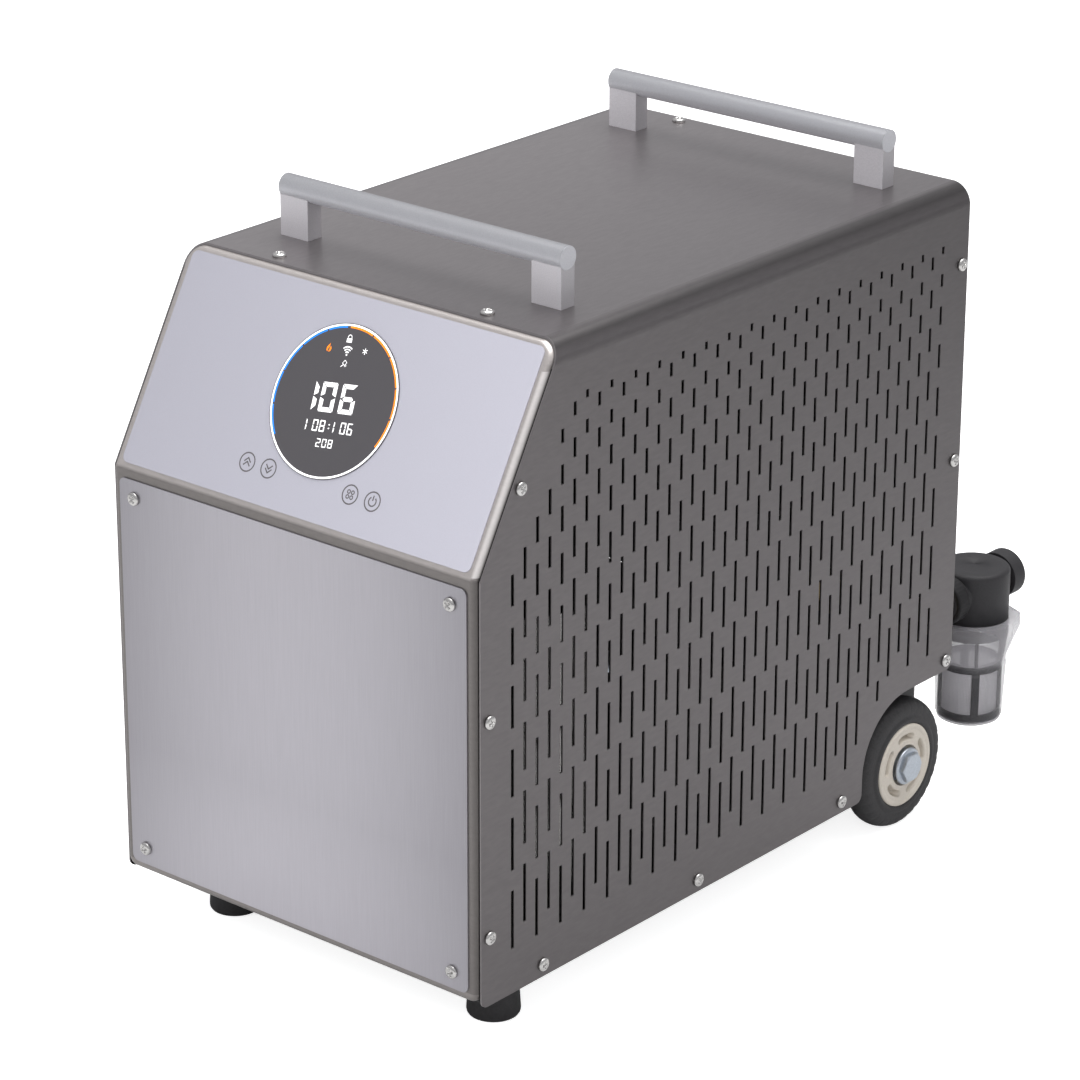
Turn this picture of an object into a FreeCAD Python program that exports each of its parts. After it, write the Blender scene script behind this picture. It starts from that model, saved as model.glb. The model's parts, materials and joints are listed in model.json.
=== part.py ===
import FreeCAD, Part
import math
import os

import Sketcher

# Ice bath chiller: a sheet-metal cabinet on two rubber feet and two wheels, with two bar handles,
# a sloped control panel and a clear-bowl water filter on its rear inlet.
# Frame: origin on the floor below the middle of the cabinet, X to the right seen from the front,
# Y to the rear, Z up, millimetres.

DRIVING = {
    # cabinet wrap, one bent sheet over left side, top and right side
    "body_width": 320.4,
    "body_depth": 517.0,
    "body_height": 433.0,
    "body_clearance": 39.5,
    "knee_height": 296.0,
    "slope_run": 78.3,
    "wrap_wall": 1.5,
    "wrap_bend": 15.0,
    "wrap_corner": 6.0,
    "notch_length": 105.5,
    "notch_height": 69.1,
    "notch_round": 52.0,
    # air slots of the right side
    "slot_columns": 39,
    "slot_rows": 10,
    "slot_pitch": 12.0,
    "slot_width": 3.0,
    "slot_shortest": 5.3,
    "slot_growth": 4.0,
    "slot_gap": 14.4,
    "slot_stagger": 14.9,
    "slot_front_inset": 30.6,
    "slot_top_inset": 38.0,
    "slot_slope_margin": 55.0,
    "slot_notch_margin": 15.0,
    "slot_least_rest": 12.0,
    # front fascia, one folded sheet
    "fascia_wall": 1.2,
    "fascia_step": 3.0,
    "fascia_gap": 0.2,
    "fascia_rim": 4.4,
    "fascia_flange": 24.0,
    "fascia_lift": 3.7,
    "fascia_corner": 7.0,
    "knee_bend": 5.0,
    # front plate, control film and display
    "plate_wall": 1.0,
    "plate_margin": 6.4,
    "plate_corner": 5.0,
    "film_wall": 0.5,
    "film_margin": 4.0,
    "film_top_margin": 3.0,
    "film_corner": 5.0,
    "display_size": 103.0,
    "display_wall": 0.6,
    "display_rise": 82.0,
    "display_shift": 4.6,
    "board_width": 124.0,
    "board_height": 112.0,
    "board_depth": 16.0,
    # handles
    "handle_length": 243.0,
    "handle_rise": 33.2,
    "bar_size": 16.0,
    "post_width": 24.7,
    "post_depth": 13.0,
    "front_handle_setback": 129.2,
    "rear_handle_inset": 44.5,
    # base tray and rear panel
    "tray_wall": 1.5,
    "tray_lift": 2.0,
    "tray_flange": 18.0,
    "tray_front_gap": 4.0,
    "panel_wall": 1.2,
    "panel_inset": 1.5,
    "panel_flange": 18.0,
    "seat_gap": 0.2,
    "grille_rows": 12,
    "grille_pitch": 15.0,
    "grille_slot_width": 96.0,
    "grille_slot_height": 6.0,
    "grille_rib": 12.0,
    "grille_rise": 175.0,
    # feet
    "foot_size": 36.4,
    "foot_side_inset": 41.9,
    "foot_front_inset": 60.3,
    "foot_recess": 15.0,
    "foot_recess_depth": 14.0,
    # wheels
    "wheel_size": 97.0,
    "tyre_width": 24.0,
    "hub_size": 62.0,
    "hub_recess_size": 30.0,
    "hub_recess_depth": 9.0,
    "hub_boss_size": 26.0,
    "hub_boss_length": 4.3,
    "hub_window_middle": 21.5,
    "hub_window_width": 5.0,
    "hub_window_depth": 8.0,
    "hub_window_spread": 50.0,
    "hub_windows": 5,
    "hub_window_turn": 34.0,
    "wheel_rear_inset": 50.8,
    "wheel_side_inset": 1.2,
    "axle_size": 12.0,
    "axle_play": 0.05,
    "axle_head_flats": 22.0,
    "axle_head_rise": 8.0,
    "axle_nut_rise": 8.0,
    "axle_washer_size": 27.0,
    "axle_washer_wall": 1.5,
    "bracket_wall": 1.5,
    "bracket_foot": 14.0,
    "nut_room": 4.0,
    # water filter on the rear inlet
    "filter_side_inset": 30.2,
    "filter_standoff": 70.0,
    "filter_rise": 142.0,
    "filter_head_size": 53.0,
    "filter_head_top": 17.8,
    "filter_head_skirt": 34.8,
    "filter_port_size": 28.0,
    "filter_port_reach": 41.5,
    "filter_port_bore": 20.0,
    "filter_port_depth": 22.0,
    "filter_nut_size": 35.0,
    "filter_nut_length": 13.0,
    "bowl_collar_size": 72.0,
    "bowl_collar_top": 21.0,
    "bowl_collar_low": 31.8,
    "bowl_shoulder": 25.0,
    "bowl_shoulder_step": 9.0,
    "bowl_lobes": 8,
    "bowl_size": 52.0,
    "bowl_foot": 103.0,
    "bowl_wall": 2.4,
    "bowl_play": 0.5,
    "strainer_size": 44.0,
    "strainer_sides": 16,
    "strainer_wall": 1.6,
    "strainer_ring": 6.0,
    "strainer_window": 25.0,
    "strainer_window_top": 57.8,
    "mesh_wall": 0.4,
    "mesh_top": 54.8,
    # rear fittings
    "pipe_size": 21.0,
    "pipe_bore": 15.0,
    "pipe_hex_flats": 30.0,
    "pipe_hex_length": 9.0,
    "outlet_spacing": 80.0,
    "outlet_length": 30.0,
    "outlet_thread_size": 26.4,
    "socket_side_inset": 60.2,
    "socket_rise": 140.0,
    "socket_width": 28.0,
    "socket_height": 20.0,
    "socket_depth": 22.0,
    "socket_wall": 2.0,
    "socket_floor": 5.0,
    "socket_flange": 5.0,
    "socket_pin_length": 10.0,
    "socket_pin_width": 5.0,
    "socket_pin_wall": 2.0,
    "socket_pin_spacing": 7.0,
    "socket_earth_rise": 2.0,
    # refrigeration and water parts inside
    "compressor_size": 118.0,
    "compressor_height": 150.0,
    "compressor_plate": 3.0,
    "compressor_side_inset": 90.2,
    "compressor_setback": 178.5,
    "grommet_size": 22.0,
    "grommet_sides": 12,
    "grommet_height": 14.0,
    "grommet_spacing": 100.0,
    "tank_size": 104.0,
    "tank_height": 230.0,
    "tank_side_inset": 75.2,
    "tank_setback": 128.5,
    "pump_size": 74.0,
    "pump_length": 92.0,
    "pump_foot_width": 50.0,
    "pump_side_inset": 78.2,
    "pump_setback": 298.5,
    "condenser_width": 236.0,
    "condenser_height": 204.0,
    "condenser_depth": 36.0,
    "condenser_gap": 6.0,
    "condenser_rise": 156.0,
    "shroud_wall": 1.5,
    "shroud_depth": 30.0,
    "arm_width": 16.0,
    "motor_seat_size": 62.0,
    "shaft_room": 1.0,
    "fan_opening": 190.0,
    "fan_tip_gap": 5.0,
    "fan_blades": 5,
    "fan_hub_size": 54.0,
    "fan_hub_depth": 20.0,
    "fan_root_depth": 1.0,
    "fan_chord": 46.0,
    "fan_blade_wall": 2.0,
    "fan_pitch": 28.0,
    "fan_motor_size": 76.0,
    "fan_motor_length": 52.0,
    "fan_shaft_size": 8.0,
    "box_width": 110.0,
    "box_height": 120.0,
    "box_depth": 46.0,
    "box_rise": 90.0,
}

doc = FreeCAD.newDocument("chiller")
sheet = doc.addObject("Spreadsheet::Sheet", "Sizes")
for row, (alias, number) in enumerate(DRIVING.items(), start=1):
    sheet.set(f"A{row}", alias)
    sheet.set(f"B{row}", str(number))
    sheet.setAlias(f"B{row}", alias)
doc.recompute()


class Size:
    """A length that carries its value and the sheet formula it comes from."""

    def __init__(self, value, formula):
        self.value = float(value)
        self.formula = formula

    def __add__(self, other):
        other = as_size(other)
        return Size(self.value + other.value, f"({self.formula} + {other.formula})")

    def __sub__(self, other):
        other = as_size(other)
        return Size(self.value - other.value, f"({self.formula} - {other.formula})")

    def __rsub__(self, other):
        return as_size(other) - self

    def __mul__(self, other):
        other = as_size(other)
        return Size(self.value * other.value, f"({self.formula} * {other.formula})")

    def __truediv__(self, other):
        other = as_size(other)
        return Size(self.value / other.value, f"({self.formula} / {other.formula})")

    def __neg__(self):
        return Size(-self.value, f"(0 - {self.formula})")


def as_size(number):
    if isinstance(number, Size):
        return number
    return Size(number, repr(float(number)))


def root(size):
    return Size(math.sqrt(size.value), f"sqrt({size.formula})")


def angle_of(rise, run):
    ratio = rise / run
    return Size(math.degrees(math.atan(ratio.value)), f"atan({ratio.formula})")


class Sheet:
    """Reads a driving dimension by its name."""

    def __getattr__(self, alias):
        return Size(getattr(sheet, alias), f"Sizes.{alias}")


S = Sheet()


def bind(item, prop, size):
    size = as_size(size)
    item.setExpression(prop, size.formula)


def place(item, x, y, z, axis=None, angle=0.0):
    """Puts an item at x, y, z, turned about the axis; every number follows the sheet."""
    x, y, z, angle = [as_size(number) for number in (x, y, z, angle)]
    turn = FreeCAD.Rotation(axis or FreeCAD.Vector(0, 0, 1), angle.value)
    item.Placement = FreeCAD.Placement(FreeCAD.Vector(x.value, y.value, z.value), turn)
    bind(item, "Placement.Base.x", x)
    bind(item, "Placement.Base.y", y)
    bind(item, "Placement.Base.z", z)
    if "Sizes" in angle.formula:
        bind(item, "Placement.Rotation.Angle", angle)


AXIS_X = FreeCAD.Vector(1, 0, 0)
TOUCH = 0.01
OVERCUT = 10.0


def new_body(label):
    body = doc.addObject("PartDesign::Body", label)
    body.Label = label
    return body


def new_sketch(body, role, offset=0.0):
    """An empty sketch on one of the body's own planes, moved along that plane's normal."""
    plane = [item for item in body.Origin.OriginFeatures if item.Role == role][0]
    drawing = body.newObject("Sketcher::SketchObject", f"{body.Name}_sketch")
    drawing.AttachmentSupport = [(plane, "")]
    drawing.MapMode = "FlatFace"
    offset = as_size(offset)
    drawing.AttachmentOffset = FreeCAD.Placement(FreeCAD.Vector(0, 0, offset.value), FreeCAD.Rotation())
    bind(drawing, "AttachmentOffset.Base.z", offset)
    return drawing


def tie(drawing, kind, *geometry, size):
    index = drawing.addConstraint(Sketcher.Constraint(kind, *geometry, size.value))
    drawing.setExpression(f"Constraints[{index}]", size.formula)


def add_outline(drawing, points):
    """A closed outline of straight sides; each corner is tied to the sheet."""
    corners = [(as_size(across), as_size(up)) for across, up in points]
    first = drawing.GeometryCount
    count = len(corners)
    vectors = [FreeCAD.Vector(across.value, up.value, 0) for across, up in corners]
    for index in range(count):
        side = Part.LineSegment(vectors[index], vectors[(index + 1) % count])
        drawing.addGeometry(side, False)
    for index in range(count):
        after = first + (index + 1) % count
        drawing.addConstraint(Sketcher.Constraint("Coincident", first + index, 2, after, 1))
    for index, (across, up) in enumerate(corners):
        tie(drawing, "DistanceX", first + index, 1, size=across)
        tie(drawing, "DistanceY", first + index, 1, size=up)


def add_circle(drawing, across, up, radius):
    across, up, radius = as_size(across), as_size(up), as_size(radius)
    first = drawing.GeometryCount
    centre = FreeCAD.Vector(across.value, up.value, 0)
    drawing.addGeometry(Part.Circle(centre, FreeCAD.Vector(0, 0, 1), radius.value), False)
    tie(drawing, "Radius", first, size=radius)
    tie(drawing, "DistanceX", first, 3, size=across)
    tie(drawing, "DistanceY", first, 3, size=up)


def rectangle(left, low, right, high):
    return [(left, low), (right, low), (right, high), (left, high)]


def polygon(sides, radius):
    """Corner points of a regular polygon about the sketch's origin, with two sides level."""
    points = []
    for corner in range(sides):
        turn = 2 * math.pi * corner / sides + math.pi / sides * (sides % 4 == 0)
        points.append((radius * math.cos(turn), radius * math.sin(turn)))
    return points


def hexagon(flats):
    return polygon(6, flats / math.sqrt(3.0))


def pad(body, drawing, length, both_ways=False, reverse=False):
    feature = body.newObject("PartDesign::Pad", f"{body.Name}_pad")
    feature.Profile = drawing
    feature.Midplane = both_ways
    feature.Reversed = reverse
    bind(feature, "Length", length)
    return feature


def pocket(body, drawing, depth=None, reverse=False):
    """Cuts to a depth, or without one right through, both ways."""
    feature = body.newObject("PartDesign::Pocket", f"{body.Name}_pocket")
    feature.Profile = drawing
    feature.Reversed = reverse
    if depth is None:
        feature.Type = "ThroughAll"
        feature.Midplane = True
    else:
        bind(feature, "Length", depth)
    return feature


def revolve(body, drawing):
    feature = body.newObject("PartDesign::Revolution", f"{body.Name}_turn")
    feature.Profile = drawing
    feature.ReferenceAxis = (drawing, ["V_Axis"])
    feature.Angle = 360.0
    return feature


def edge_names(feature, test):
    """Names of the edges whose ends and middle all pass the test."""
    doc.recompute()
    names = []
    for number, edge in enumerate(feature.Shape.Edges, start=1):
        middle = edge.valueAt((edge.FirstParameter + edge.LastParameter) / 2)
        spots = [vertex.Point for vertex in edge.Vertexes] + [middle]
        if all(test(spot) for spot in spots):
            names.append(f"Edge{number}")
    return names


def round_edges(body, feature, radius, test, kind="Fillet"):
    rounding = body.newObject(f"PartDesign::{kind}", f"{body.Name}_{kind.lower()}")
    rounding.Base = (feature, edge_names(feature, test))
    bind(rounding, "Radius" if kind == "Fillet" else "Size", radius)
    return rounding


def near(one, other):
    return abs(one - as_size(other).value) < TOUCH


def turned_body(label, profile):
    """A body of revolution about its own Z, from (radius, height) points."""
    body = new_body(label)
    drawing = new_sketch(body, "XZ_Plane")
    add_outline(drawing, profile)
    revolve(body, drawing)
    return body


# Heights, edges and slope lines that several pieces share

half_width = S.body_width / 2
front = -(S.body_depth / 2)
rear = S.body_depth / 2
bottom = S.body_clearance
top = bottom + S.body_height
knee = bottom + S.knee_height
slope_rise = S.body_height - S.knee_height
slope_length = root(slope_rise * slope_rise + S.slope_run * S.slope_run)
knee_share = (slope_length - slope_rise) / S.slope_run
slope_angle = angle_of(slope_rise, S.slope_run)
inside_width = half_width - S.wrap_wall - S.fascia_gap


def knee_point(step):
    """Where a face set `step` in front of the wrap's edge turns from upright to sloped."""
    return front - step, knee + step * knee_share


def slope_point(step, height):
    """The point at a height on the sloped line set `step` in front of the wrap's edge."""
    base_y = front - step * slope_rise / slope_length
    base_z = knee + step * S.slope_run / slope_length
    return base_y + (height - base_z) * S.slope_run / slope_rise, height


# Outer wrap: one sheet bent over left side, top and right side. It is padded as a U section,
# cut to the sloped front and round the wheels, and its right side is slotted for air.

notch_front = rear - S.notch_length
notch_top = bottom + S.notch_height


def make_wrap_blank():
    body = new_body("wrap_blank")
    section = new_sketch(body, "XZ_Plane")
    inner = half_width - S.wrap_wall
    add_outline(section, [
        (-half_width, bottom), (-half_width, top), (half_width, top), (half_width, bottom),
        (inner, bottom), (inner, top - S.wrap_wall), (-inner, top - S.wrap_wall), (-inner, bottom),
    ])
    blank = pad(body, section, S.body_depth, both_ways=True)
    bent = round_edges(body, blank, S.wrap_bend,
                       lambda spot: near(abs(spot.x), half_width) and near(spot.z, top))
    bent = round_edges(body, bent, S.wrap_bend - S.wrap_wall,
                       lambda spot: near(abs(spot.x), inner) and near(spot.z, top - S.wrap_wall))
    slope_cut = new_sketch(body, "YZ_Plane")
    low_end = (front - OVERCUT, knee - slope_rise / S.slope_run * OVERCUT)
    high_end = (front + S.slope_run + S.slope_run / slope_rise * OVERCUT, top + OVERCUT)
    add_outline(slope_cut, [low_end, high_end, (front - OVERCUT, top + OVERCUT)])
    pocket(body, slope_cut)
    wheel_cut = new_sketch(body, "YZ_Plane")
    add_outline(wheel_cut, rectangle(notch_front, bottom - OVERCUT, rear + OVERCUT, notch_top))
    cut = pocket(body, wheel_cut)
    cut = round_edges(body, cut, S.notch_round,
                      lambda spot: near(spot.y, notch_front) and near(spot.z, notch_top))
    round_edges(body, cut, S.wrap_corner, lambda spot: near(spot.z, bottom) and (
        near(spot.y, front) or near(spot.y, notch_front)) or near(spot.z, notch_top) and near(spot.y, rear))
    return body


def slot_spans():
    """Each slot's column position, low end and high end, kept clear of the slope and the notch."""
    spans = []
    column_tops = [(top - S.slot_top_inset).value]
    for row in range(int(S.slot_rows.value) - 1):
        length = S.slot_shortest.value + S.slot_growth.value * row
        column_tops.append(column_tops[-1] - length - S.slot_gap.value)
    round_y = (notch_front + S.notch_round).value
    round_z = (notch_top - S.notch_round).value
    reach = (S.notch_round + S.slot_notch_margin).value
    for column in range(int(S.slot_columns.value)):
        y = (front + S.slot_front_inset + S.slot_pitch * column).value
        staggered = column % 2
        ceiling = (knee + (Size(y, "") - front) * slope_rise / S.slope_run - S.slot_slope_margin).value
        beside = min(abs(y - round_y), reach) if y < round_y else 0.0
        floor = round_z + math.sqrt(reach ** 2 - beside ** 2) if y > round_y - reach else -math.inf
        for row, row_top in enumerate(column_tops):
            if staggered and row == 0:
                continue
            high = row_top + S.slot_stagger.value * staggered
            low = high - S.slot_shortest.value - S.slot_growth.value * row
            if high > ceiling:
                continue
            if low < floor:
                low = floor
            if high - low >= min(S.slot_least_rest.value, S.slot_shortest.value + S.slot_growth.value * row):
                spans.append((y, low, high))
    return spans


def make_wrap():
    cutters = doc.addObject("Part::Feature", "wrap_slots")
    middle = (half_width - S.wrap_wall / 2).value
    width = S.slot_width.value
    slots = []
    for y, low, high in slot_spans():
        corner = FreeCAD.Vector(middle - OVERCUT / 2, y - width / 2, low)
        slots.append(Part.makeBox(OVERCUT, width, high - low, corner))
    cutters.Shape = Part.makeCompound(slots)
    wrap = doc.addObject("Part::Cut", "outer_wrap")
    wrap.Label = "outer_wrap"
    wrap.Base = make_wrap_blank()
    wrap.Tool = cutters
    return wrap


# Front fascia: one folded sheet with an upright lower face and a sloped upper face. Its rim is
# rounded and turned back all round as a flange that slides under the wrap.


def fascia_form(label, step, back_step, width, low, high, corners, rim, rim_kind):
    """A solid block with the fascia's outline, bent corners and a front rim that is rounded or bevelled."""
    body = new_body(label)
    side = new_sketch(body, "YZ_Plane")
    add_outline(side, [
        (front - step, low), knee_point(step), slope_point(step, high),
        slope_point(back_step, high), knee_point(back_step), (front - back_step, low),
    ])
    block = pad(body, side, width * 2, both_ways=True)
    shape = round_edges(body, block, corners[0], lambda spot: near(abs(spot.x), width) and near(spot.z, high))
    shape = round_edges(body, shape, corners[1], lambda spot: near(abs(spot.x), width) and near(spot.z, low))
    knee_y, knee_z = knee_point(step)
    shape = round_edges(body, shape, corners[2], lambda spot: near(spot.y, knee_y) and near(spot.z, knee_z))
    lean = math.radians(slope_angle.value)
    base_y, base_z = slope_point(step, high)

    def on_face(spot):
        upright = near(spot.y, front - step)
        off_slope = (spot.y - base_y.value) * math.sin(lean) - (spot.z - base_z.value) * math.cos(lean)
        bent = corners[2].value
        beside_knee = abs(spot.z - knee_z.value) < bent and spot.y < (knee_y + bent / 2).value
        return upright or abs(off_slope) < TOUCH or beside_knee

    def on_rim(spot):
        inner = width.value - TOUCH
        within = abs(spot.x) < inner and low.value + TOUCH < spot.z < high.value - TOUCH
        corner_zone = abs(spot.x) > inner - max(corners[0].value, corners[1].value)
        above, below = high.value - corners[0].value - TOUCH, low.value + corners[1].value + TOUCH
        near_end = spot.z > above or spot.z < below
        return on_face(spot) and (not within or corner_zone and near_end)

    round_edges(body, shape, rim, on_rim, kind=rim_kind)
    return body


def make_fascia():
    low = bottom + S.fascia_lift
    high = top - S.wrap_wall - S.fascia_gap
    bend = S.wrap_bend - S.wrap_wall - S.fascia_gap
    outside = fascia_form("fascia_outside", S.fascia_step, S.fascia_step - S.fascia_flange, inside_width,
                          low, high, (bend, S.fascia_corner, S.knee_bend), S.fascia_rim, "Fillet")
    wall = S.fascia_wall
    inside = fascia_form("fascia_inside", S.fascia_step - wall, S.fascia_step - S.fascia_flange - OVERCUT,
                         inside_width - wall, low + wall, high - wall,
                         (bend - wall, S.fascia_corner - wall, S.knee_bend - wall),
                         S.fascia_rim - wall, "Chamfer")
    fascia = doc.addObject("Part::Cut", "front_fascia")
    fascia.Label = "front_fascia"
    fascia.Base = outside
    fascia.Tool = inside
    return fascia


# Plates on the fascia: the front plate, and on the slope the control film with its round window.
# The control board's housing sits behind the slope.


def make_front_plate():
    body = new_body("front_plate")
    right = inside_width - S.plate_margin
    low = bottom + S.fascia_lift + S.plate_margin
    high = knee_point(S.fascia_step)[1] - S.plate_margin
    face = new_sketch(body, "XZ_Plane", S.fascia_step - front)
    add_outline(face, rectangle(-right, low, right, high))
    plate = pad(body, face, S.plate_wall)
    round_edges(body, plate, S.plate_corner, lambda spot: near(abs(spot.x), right) and (
        near(spot.z, low) or near(spot.z, high)))
    return body


def lay_on_slope(body):
    """Turns a body so that its own XY plane is the fascia's sloped face, Y up the slope."""
    y, z = knee_point(S.fascia_step)
    place(body, 0.0, y, z, AXIS_X, slope_angle)


def make_control_film():
    body = new_body("control_overlay")
    high = top - S.wrap_wall - S.fascia_gap
    rise = (high - knee_point(S.fascia_step)[1]) * slope_length / slope_rise
    right = inside_width - S.plate_margin
    face = new_sketch(body, "XY_Plane")
    film_top = rise - S.film_top_margin
    add_outline(face, rectangle(-right, S.film_margin, right, film_top))
    film = pad(body, face, S.film_wall)
    round_edges(body, film, S.film_corner, lambda spot: near(abs(spot.x), right) and (
        near(spot.y, S.film_margin) or near(spot.y, film_top)))
    lay_on_slope(body)
    return body


def make_display():
    body = new_body("display_window")
    face = new_sketch(body, "XY_Plane", S.film_wall)
    add_circle(face, S.display_shift, S.display_rise, S.display_size / 2)
    pad(body, face, S.display_wall)
    lay_on_slope(body)
    return body


def make_control_board():
    body = new_body("control_board")
    face = new_sketch(body, "XY_Plane", -S.fascia_wall)
    half = S.board_width / 2
    tall = S.board_height / 2
    add_outline(face, rectangle(S.display_shift - half, S.display_rise - tall,
                                S.display_shift + half, S.display_rise + tall))
    pad(body, face, S.board_depth, reverse=True)
    lay_on_slope(body)
    return body


def group(label, solids):
    item = doc.addObject("Part::Feature", label)
    item.Label = label
    item.Shape = Part.makeCompound(solids)
    return item


# Handles: a round bar lying in the saddle tops of two flat posts, bolted from under the wrap

handle_places = {"front": front + S.front_handle_setback, "rear": rear - S.rear_handle_inset}


def make_handle(which):
    y = handle_places[which]
    axis_z = top + S.handle_rise
    bar = new_body(f"{which}_handle_bar")
    disc = new_sketch(bar, "YZ_Plane")
    add_circle(disc, 0.0, 0.0, S.bar_size / 2)
    pad(bar, disc, S.handle_length, both_ways=True)
    end = S.handle_length / 2
    place(bar, 0.0, y, axis_z)
    pieces = [bar]
    for name, side in (("left", -1), ("right", 1)):
        post = new_body(f"{which}_{name}_post")
        footprint = new_sketch(post, "XY_Plane")
        half = S.post_depth / 2
        add_outline(footprint, rectangle(-(S.post_width / 2), -half, S.post_width / 2, half))
        pad(post, footprint, S.handle_rise)
        saddle = new_sketch(post, "YZ_Plane")
        add_circle(saddle, 0.0, S.handle_rise, S.bar_size / 2)
        pocket(post, saddle)
        middle = (end - S.post_width / 2) * side
        place(post, middle, y, top)
        pieces.append(post)
    return pieces


# Base tray: a folded pan, narrower at the rear where the wheels stand beside it

tray_low = bottom + S.tray_lift
tray_floor = tray_low + S.tray_wall
wheel_face = half_width - S.wheel_side_inset
bracket_face = wheel_face - S.tyre_width - S.hub_boss_length - S.seat_gap
tray_narrow = bracket_face - S.bracket_wall - S.seat_gap
tray_step = notch_front - S.bracket_wall * 3 - S.seat_gap
tray_rear = rear - S.panel_inset - S.panel_wall - S.seat_gap
wheel_y = rear - S.wheel_rear_inset
wheel_z = S.wheel_size / 2


def tray_outline(inset):
    wide = inside_width - inset
    narrow = tray_narrow - inset
    ahead = front + S.tray_front_gap + inset
    step = tray_step - inset
    back = tray_rear - inset
    return [(-wide, ahead), (wide, ahead), (wide, step), (narrow, step), (narrow, back),
            (-narrow, back), (-narrow, step), (-wide, step)]


def make_tray():
    body = new_body("base_tray")
    outline = new_sketch(body, "XY_Plane", tray_low)
    add_outline(outline, tray_outline(as_size(0.0)))
    pad(body, outline, S.tray_flange)
    hollow = new_sketch(body, "XY_Plane", tray_floor)
    add_outline(hollow, tray_outline(S.tray_wall))
    pocket(body, hollow, S.tray_flange, reverse=True)
    # the fascia's turned-back flange stands where the front flange would be, so that one is cut away
    front_cut = new_sketch(body, "XY_Plane", tray_floor)
    cut_back = front - S.fascia_step + S.fascia_flange + S.seat_gap
    add_outline(front_cut, rectangle(-half_width, front, half_width, cut_back))
    pocket(body, front_cut, S.tray_flange, reverse=True)
    nut_ways = new_sketch(body, "XY_Plane")
    room = S.axle_head_flats / 2 + S.nut_room
    for side in (-1, 1):
        nut_end = (bracket_face - S.bracket_wall - S.axle_nut_rise - S.nut_room) * side
        add_outline(nut_ways, rectangle(nut_end, wheel_y - room, half_width * side, wheel_y + room))
    pocket(body, nut_ways)
    return body


# Wheel brackets: folded from an inner wall, a roof and a front tab, one on each side


def make_bracket(name, side):
    body = new_body(f"{name}_wheel_bracket")
    roof = notch_top + S.bracket_wall
    low = wheel_z - S.bracket_foot
    outer = inside_width - S.seat_gap
    inner = bracket_face - S.bracket_wall
    tab = notch_front - S.bracket_wall * 3
    section = new_sketch(body, "XZ_Plane", -tab)
    add_outline(section, [
        (inner * side, low), (bracket_face * side, low), (bracket_face * side, roof),
        (outer * side, roof), (outer * side, roof + S.bracket_wall), (inner * side, roof + S.bracket_wall),
    ])
    pad(body, section, tray_rear - tab, reverse=True)
    front_tab = new_sketch(body, "XZ_Plane", -tab)
    add_outline(front_tab, rectangle(bracket_face * side, tray_low, outer * side, roof))
    pad(body, front_tab, S.bracket_wall, reverse=True)
    axle_way = new_sketch(body, "YZ_Plane")
    add_circle(axle_way, wheel_y, wheel_z, S.axle_size / 2 + S.axle_play)
    pocket(body, axle_way)
    return body


# Rear panel: a folded sheet with turned side and top flanges, slotted behind the condenser

filter_z = as_size(0.0) + S.filter_rise
filter_x = half_width - S.filter_side_inset
outlet_x = filter_x - S.outlet_spacing
socket_x = S.socket_side_inset - half_width
socket_z = as_size(0.0) + S.socket_rise
panel_back = rear - S.panel_inset
panel_face = panel_back - S.panel_wall


def make_rear_panel():
    body = new_body("rear_panel")
    wide = inside_width
    narrow = bracket_face
    shelf = notch_top + S.bracket_wall * 2 + S.seat_gap
    high = top - S.wrap_wall - S.fascia_gap
    sheet_outline = new_sketch(body, "XZ_Plane", -panel_face)
    add_outline(sheet_outline, [
        (-narrow, tray_low), (narrow, tray_low), (narrow, shelf), (wide, shelf), (wide, high),
        (-wide, high), (-wide, shelf), (-narrow, shelf),
    ])
    pad(body, sheet_outline, S.panel_wall, reverse=True)
    flange = new_sketch(body, "XZ_Plane", -panel_face)
    wall = S.panel_wall
    add_outline(flange, [
        (-wide, shelf), (wall - wide, shelf), (wall - wide, high - wall), (wide - wall, high - wall),
        (wide - wall, shelf), (wide, shelf), (wide, high), (-wide, high),
    ])
    flanged = pad(body, flange, S.panel_flange)
    bend = S.wrap_bend - S.wrap_wall - S.fascia_gap
    bent = round_edges(body, flanged, bend, lambda spot: near(abs(spot.x), wide) and near(spot.z, high))
    round_edges(body, bent, bend - wall,
                lambda spot: near(abs(spot.x), wide - wall) and near(spot.z, high - wall))
    ways = new_sketch(body, "XZ_Plane")
    for x in (filter_x, outlet_x):
        add_circle(ways, x, filter_z, S.pipe_size / 2 + S.axle_play)
    half = S.socket_width / 2
    tall = S.socket_height / 2
    gap = S.seat_gap
    add_outline(ways, rectangle(socket_x - half - gap, socket_z - tall - gap,
                                socket_x + half + gap, socket_z + tall + gap))
    pocket(body, ways)
    slots = new_sketch(body, "XZ_Plane")
    for side in (-1, 1):
        near_end = S.grille_rib / 2
        far_end = near_end + S.grille_slot_width
        low = bottom + S.grille_rise
        add_outline(slots, rectangle(near_end * side, low, far_end * side, low + S.grille_slot_height))
    row = pocket(body, slots)
    rows = body.newObject("PartDesign::LinearPattern", "grille_rows")
    rows.Originals = [row]
    rows.Direction = (slots, ["V_Axis"])
    rows.Mode = "Spacing"
    bind(rows, "Occurrences", S.grille_rows)
    bind(rows, "Offset", S.grille_pitch)
    body.Tip = rows
    return body


# Feet: round rubber blocks with a recess for the bolt that holds each under the tray


def make_foot(name, side):
    body = new_body(f"{name}_foot")
    block = new_sketch(body, "XY_Plane")
    add_circle(block, 0.0, 0.0, S.foot_size / 2)
    pad(body, block, tray_low)
    recess = new_sketch(body, "XY_Plane")
    add_circle(recess, 0.0, 0.0, S.foot_recess / 2)
    pocket(body, recess, S.foot_recess_depth, reverse=True)
    place(body, (half_width - S.foot_side_inset) * side, front + S.foot_front_inset, 0.0)
    return body


# Wheels: rubber tyre on a moulded hub that turns on a hex-head axle bolt


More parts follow.
